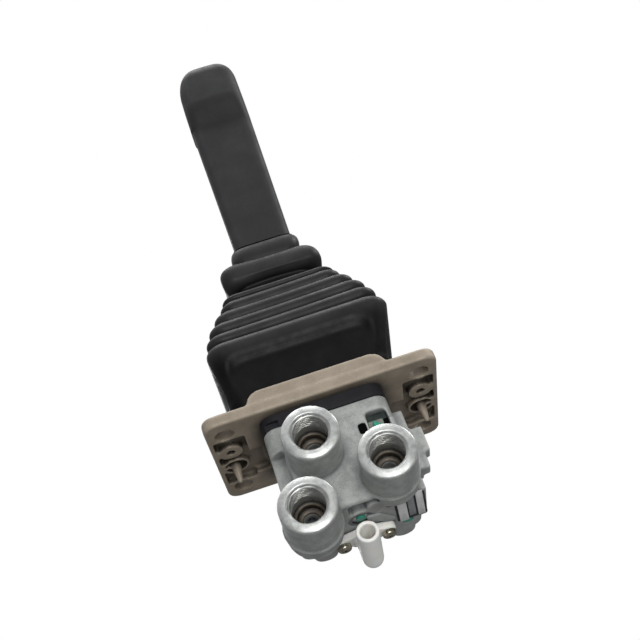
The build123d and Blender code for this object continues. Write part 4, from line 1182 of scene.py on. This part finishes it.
@dataclass
class Stage:
    """Floor, lamps, background and camera, in metres."""

    floor_z: float = -0.0705
    floor_half: float = 3.0
    sky: tuple[float, float] = (0.25, 0.9)
    sky_mirrored: tuple[float, float] = (0.22, 1.0)
    lens: float = 63.8627
    place: tuple[float, float, float] = (-0.0253545, -0.4568195, -0.2289453)
    yaw: float = -4.90757
    pitch: float = 31.97132
    roll: float = -20.41571
    aim: tuple[float, float, float] = (0.0, 0.0, 0.06)
    lamps: tuple[tuple[str, tuple[float, float, float], float, float], ...] = (
        ("top", (0.0, -0.1, 1.15), 0.8, 9.0), ("key", (0.85, 0.0, 0.7), 0.4, 4.5),
        ("front", (0.1, -1.1, -0.3), 0.7, 9.5), ("back", (-0.2, 0.95, 0.5), 0.6, 3.0))

    def floor(self) -> None:
        """A pale floor that the camera sees from above, clear from below and to light."""
        side = self.floor_half
        mesh = bpy.data.meshes.new("studio_floor")
        mesh.from_pydata([(-side, -side, self.floor_z), (side, -side, self.floor_z),
                          (side, side, self.floor_z), (-side, side, self.floor_z)],
                         [], [(0, 1, 2, 3)])
        floor = bpy.data.objects.new("studio_floor", mesh)
        bpy.context.scene.collection.objects.link(floor)
        material = bpy.data.materials.new("matt_painted_board")
        material.use_nodes = True
        tree = material.node_tree
        tree.nodes.clear()
        where = add_node(tree, "TexCoord").outputs["Object"]
        colour = ramp(tree, noise(tree, where, 60.0), [(0.3, "e6e6e5"), (0.7, "ebebea")])
        paint = add_node(tree, "BsdfPrincipled", None, {
            "Base Color": colour, "Roughness": 0.8, "Specular IOR Level": 0.2})
        clear = add_node(tree, "BsdfTransparent")
        above = add_node(tree, "Math", {"operation": "SUBTRACT"}, {
            0: add_node(tree, "LightPath").outputs["Is Camera Ray"],
            1: add_node(tree, "NewGeometry").outputs["Backfacing"]})
        both = add_node(tree, "MixShader", None, {
            0: above.outputs[0], 1: clear.outputs[0], 2: paint.outputs[0]})
        add_node(tree, "OutputMaterial", None, {"Surface": both.outputs[0]})
        floor.data.materials.append(material)

    def world(self) -> None:
        """White to the eye, and a soft light for the rest that is weaker from below."""
        world = bpy.data.worlds.new("studio")
        bpy.context.scene.world = world
        world.use_nodes = True
        tree = world.node_tree
        tree.nodes.clear()
        path = add_node(tree, "LightPath").outputs
        seen = add_node(tree, "Math", {"operation": "MAXIMUM"}, {
            0: path["Is Camera Ray"], 1: path["Is Transmission Ray"]})
        where = add_node(tree, "TexCoord").outputs["Generated"]
        height = add_node(tree, "SeparateXYZ", None, {0: where}).outputs["Z"]
        level = remap(tree, height, *self.sky, -0.1, 0.9)
        mirrored = remap(tree, height, *self.sky_mirrored, 0.35, 0.85)
        level = add_node(tree, "Mix", {"data_type": "FLOAT"}, {
            0: path["Is Glossy Ray"], 2: level, 3: mirrored}).outputs[0]
        soft = add_node(tree, "Background", None, {"Color": linear("f4f5f8"), "Strength": level})
        white = add_node(tree, "Background", None, {"Color": linear("ffffff"), "Strength": 1.0})
        both = add_node(tree, "MixShader", None, {
            0: seen.outputs[0], 1: soft.outputs[0], 2: white.outputs[0]})
        add_node(tree, "OutputWorld", None, {"Surface": both.outputs[0]})

    def lamp(self, name: str, place: Sequence[float], size: float, power: float) -> None:
        """A square soft box that points from its place at the aim."""
        light = bpy.data.lights.new(name, "AREA")
        light.size = size
        light.energy = power
        lamp = bpy.data.objects.new(name, light)
        turn = (Vector(self.aim) - Vector(place)).to_track_quat("-Z", "Y")
        lamp.matrix_world = Matrix.Translation(place) @ turn.to_matrix().to_4x4()
        bpy.context.scene.collection.objects.link(lamp)

    def camera(self) -> None:
        """The camera, below the plate's level and looking up at the ports."""
        lens = bpy.data.cameras.new("camera")
        lens.lens = self.lens
        lens.sensor_width = 36.0
        lens.clip_start = 0.01
        camera = bpy.data.objects.new("camera", lens)
        camera.matrix_world = (
            Matrix.Translation(self.place)
            @ Matrix.Rotation(np.radians(self.yaw), 4, "Z")
            @ Matrix.Rotation(np.radians(90.0 + self.pitch), 4, "X")
            @ Matrix.Rotation(np.radians(self.roll), 4, "Z"))
        bpy.context.scene.collection.objects.link(camera)
        bpy.context.scene.camera = camera

    def build(self) -> None:
        """Set everything up."""
        self.floor()
        self.world()
        self.camera()
        for lamp in self.lamps:
            self.lamp(*lamp)
        bpy.context.scene.view_settings.view_transform = "Standard"


def main() -> None:
    """Build the stage, every sub-assembly in order, and the finishes."""
    logging.basicConfig(level=logging.INFO, format="%(name)s %(message)s")
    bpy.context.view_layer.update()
    Stage().build()
    finishes = {slot: finish.build() for slot, finish in FINISHES.items()}
    dress_cad_nodes(finishes)
    Boot().build(finishes["boot_rubber"])
    Grip().build(finishes["grip_polymer"])
    ports = Ports()
    Castings().build(ports, finishes)
    ports.build(finishes)
    VentElbow().build(finishes["natural_nylon"])
    Fittings().build(finishes)


if __name__ == "__main__":
    main()
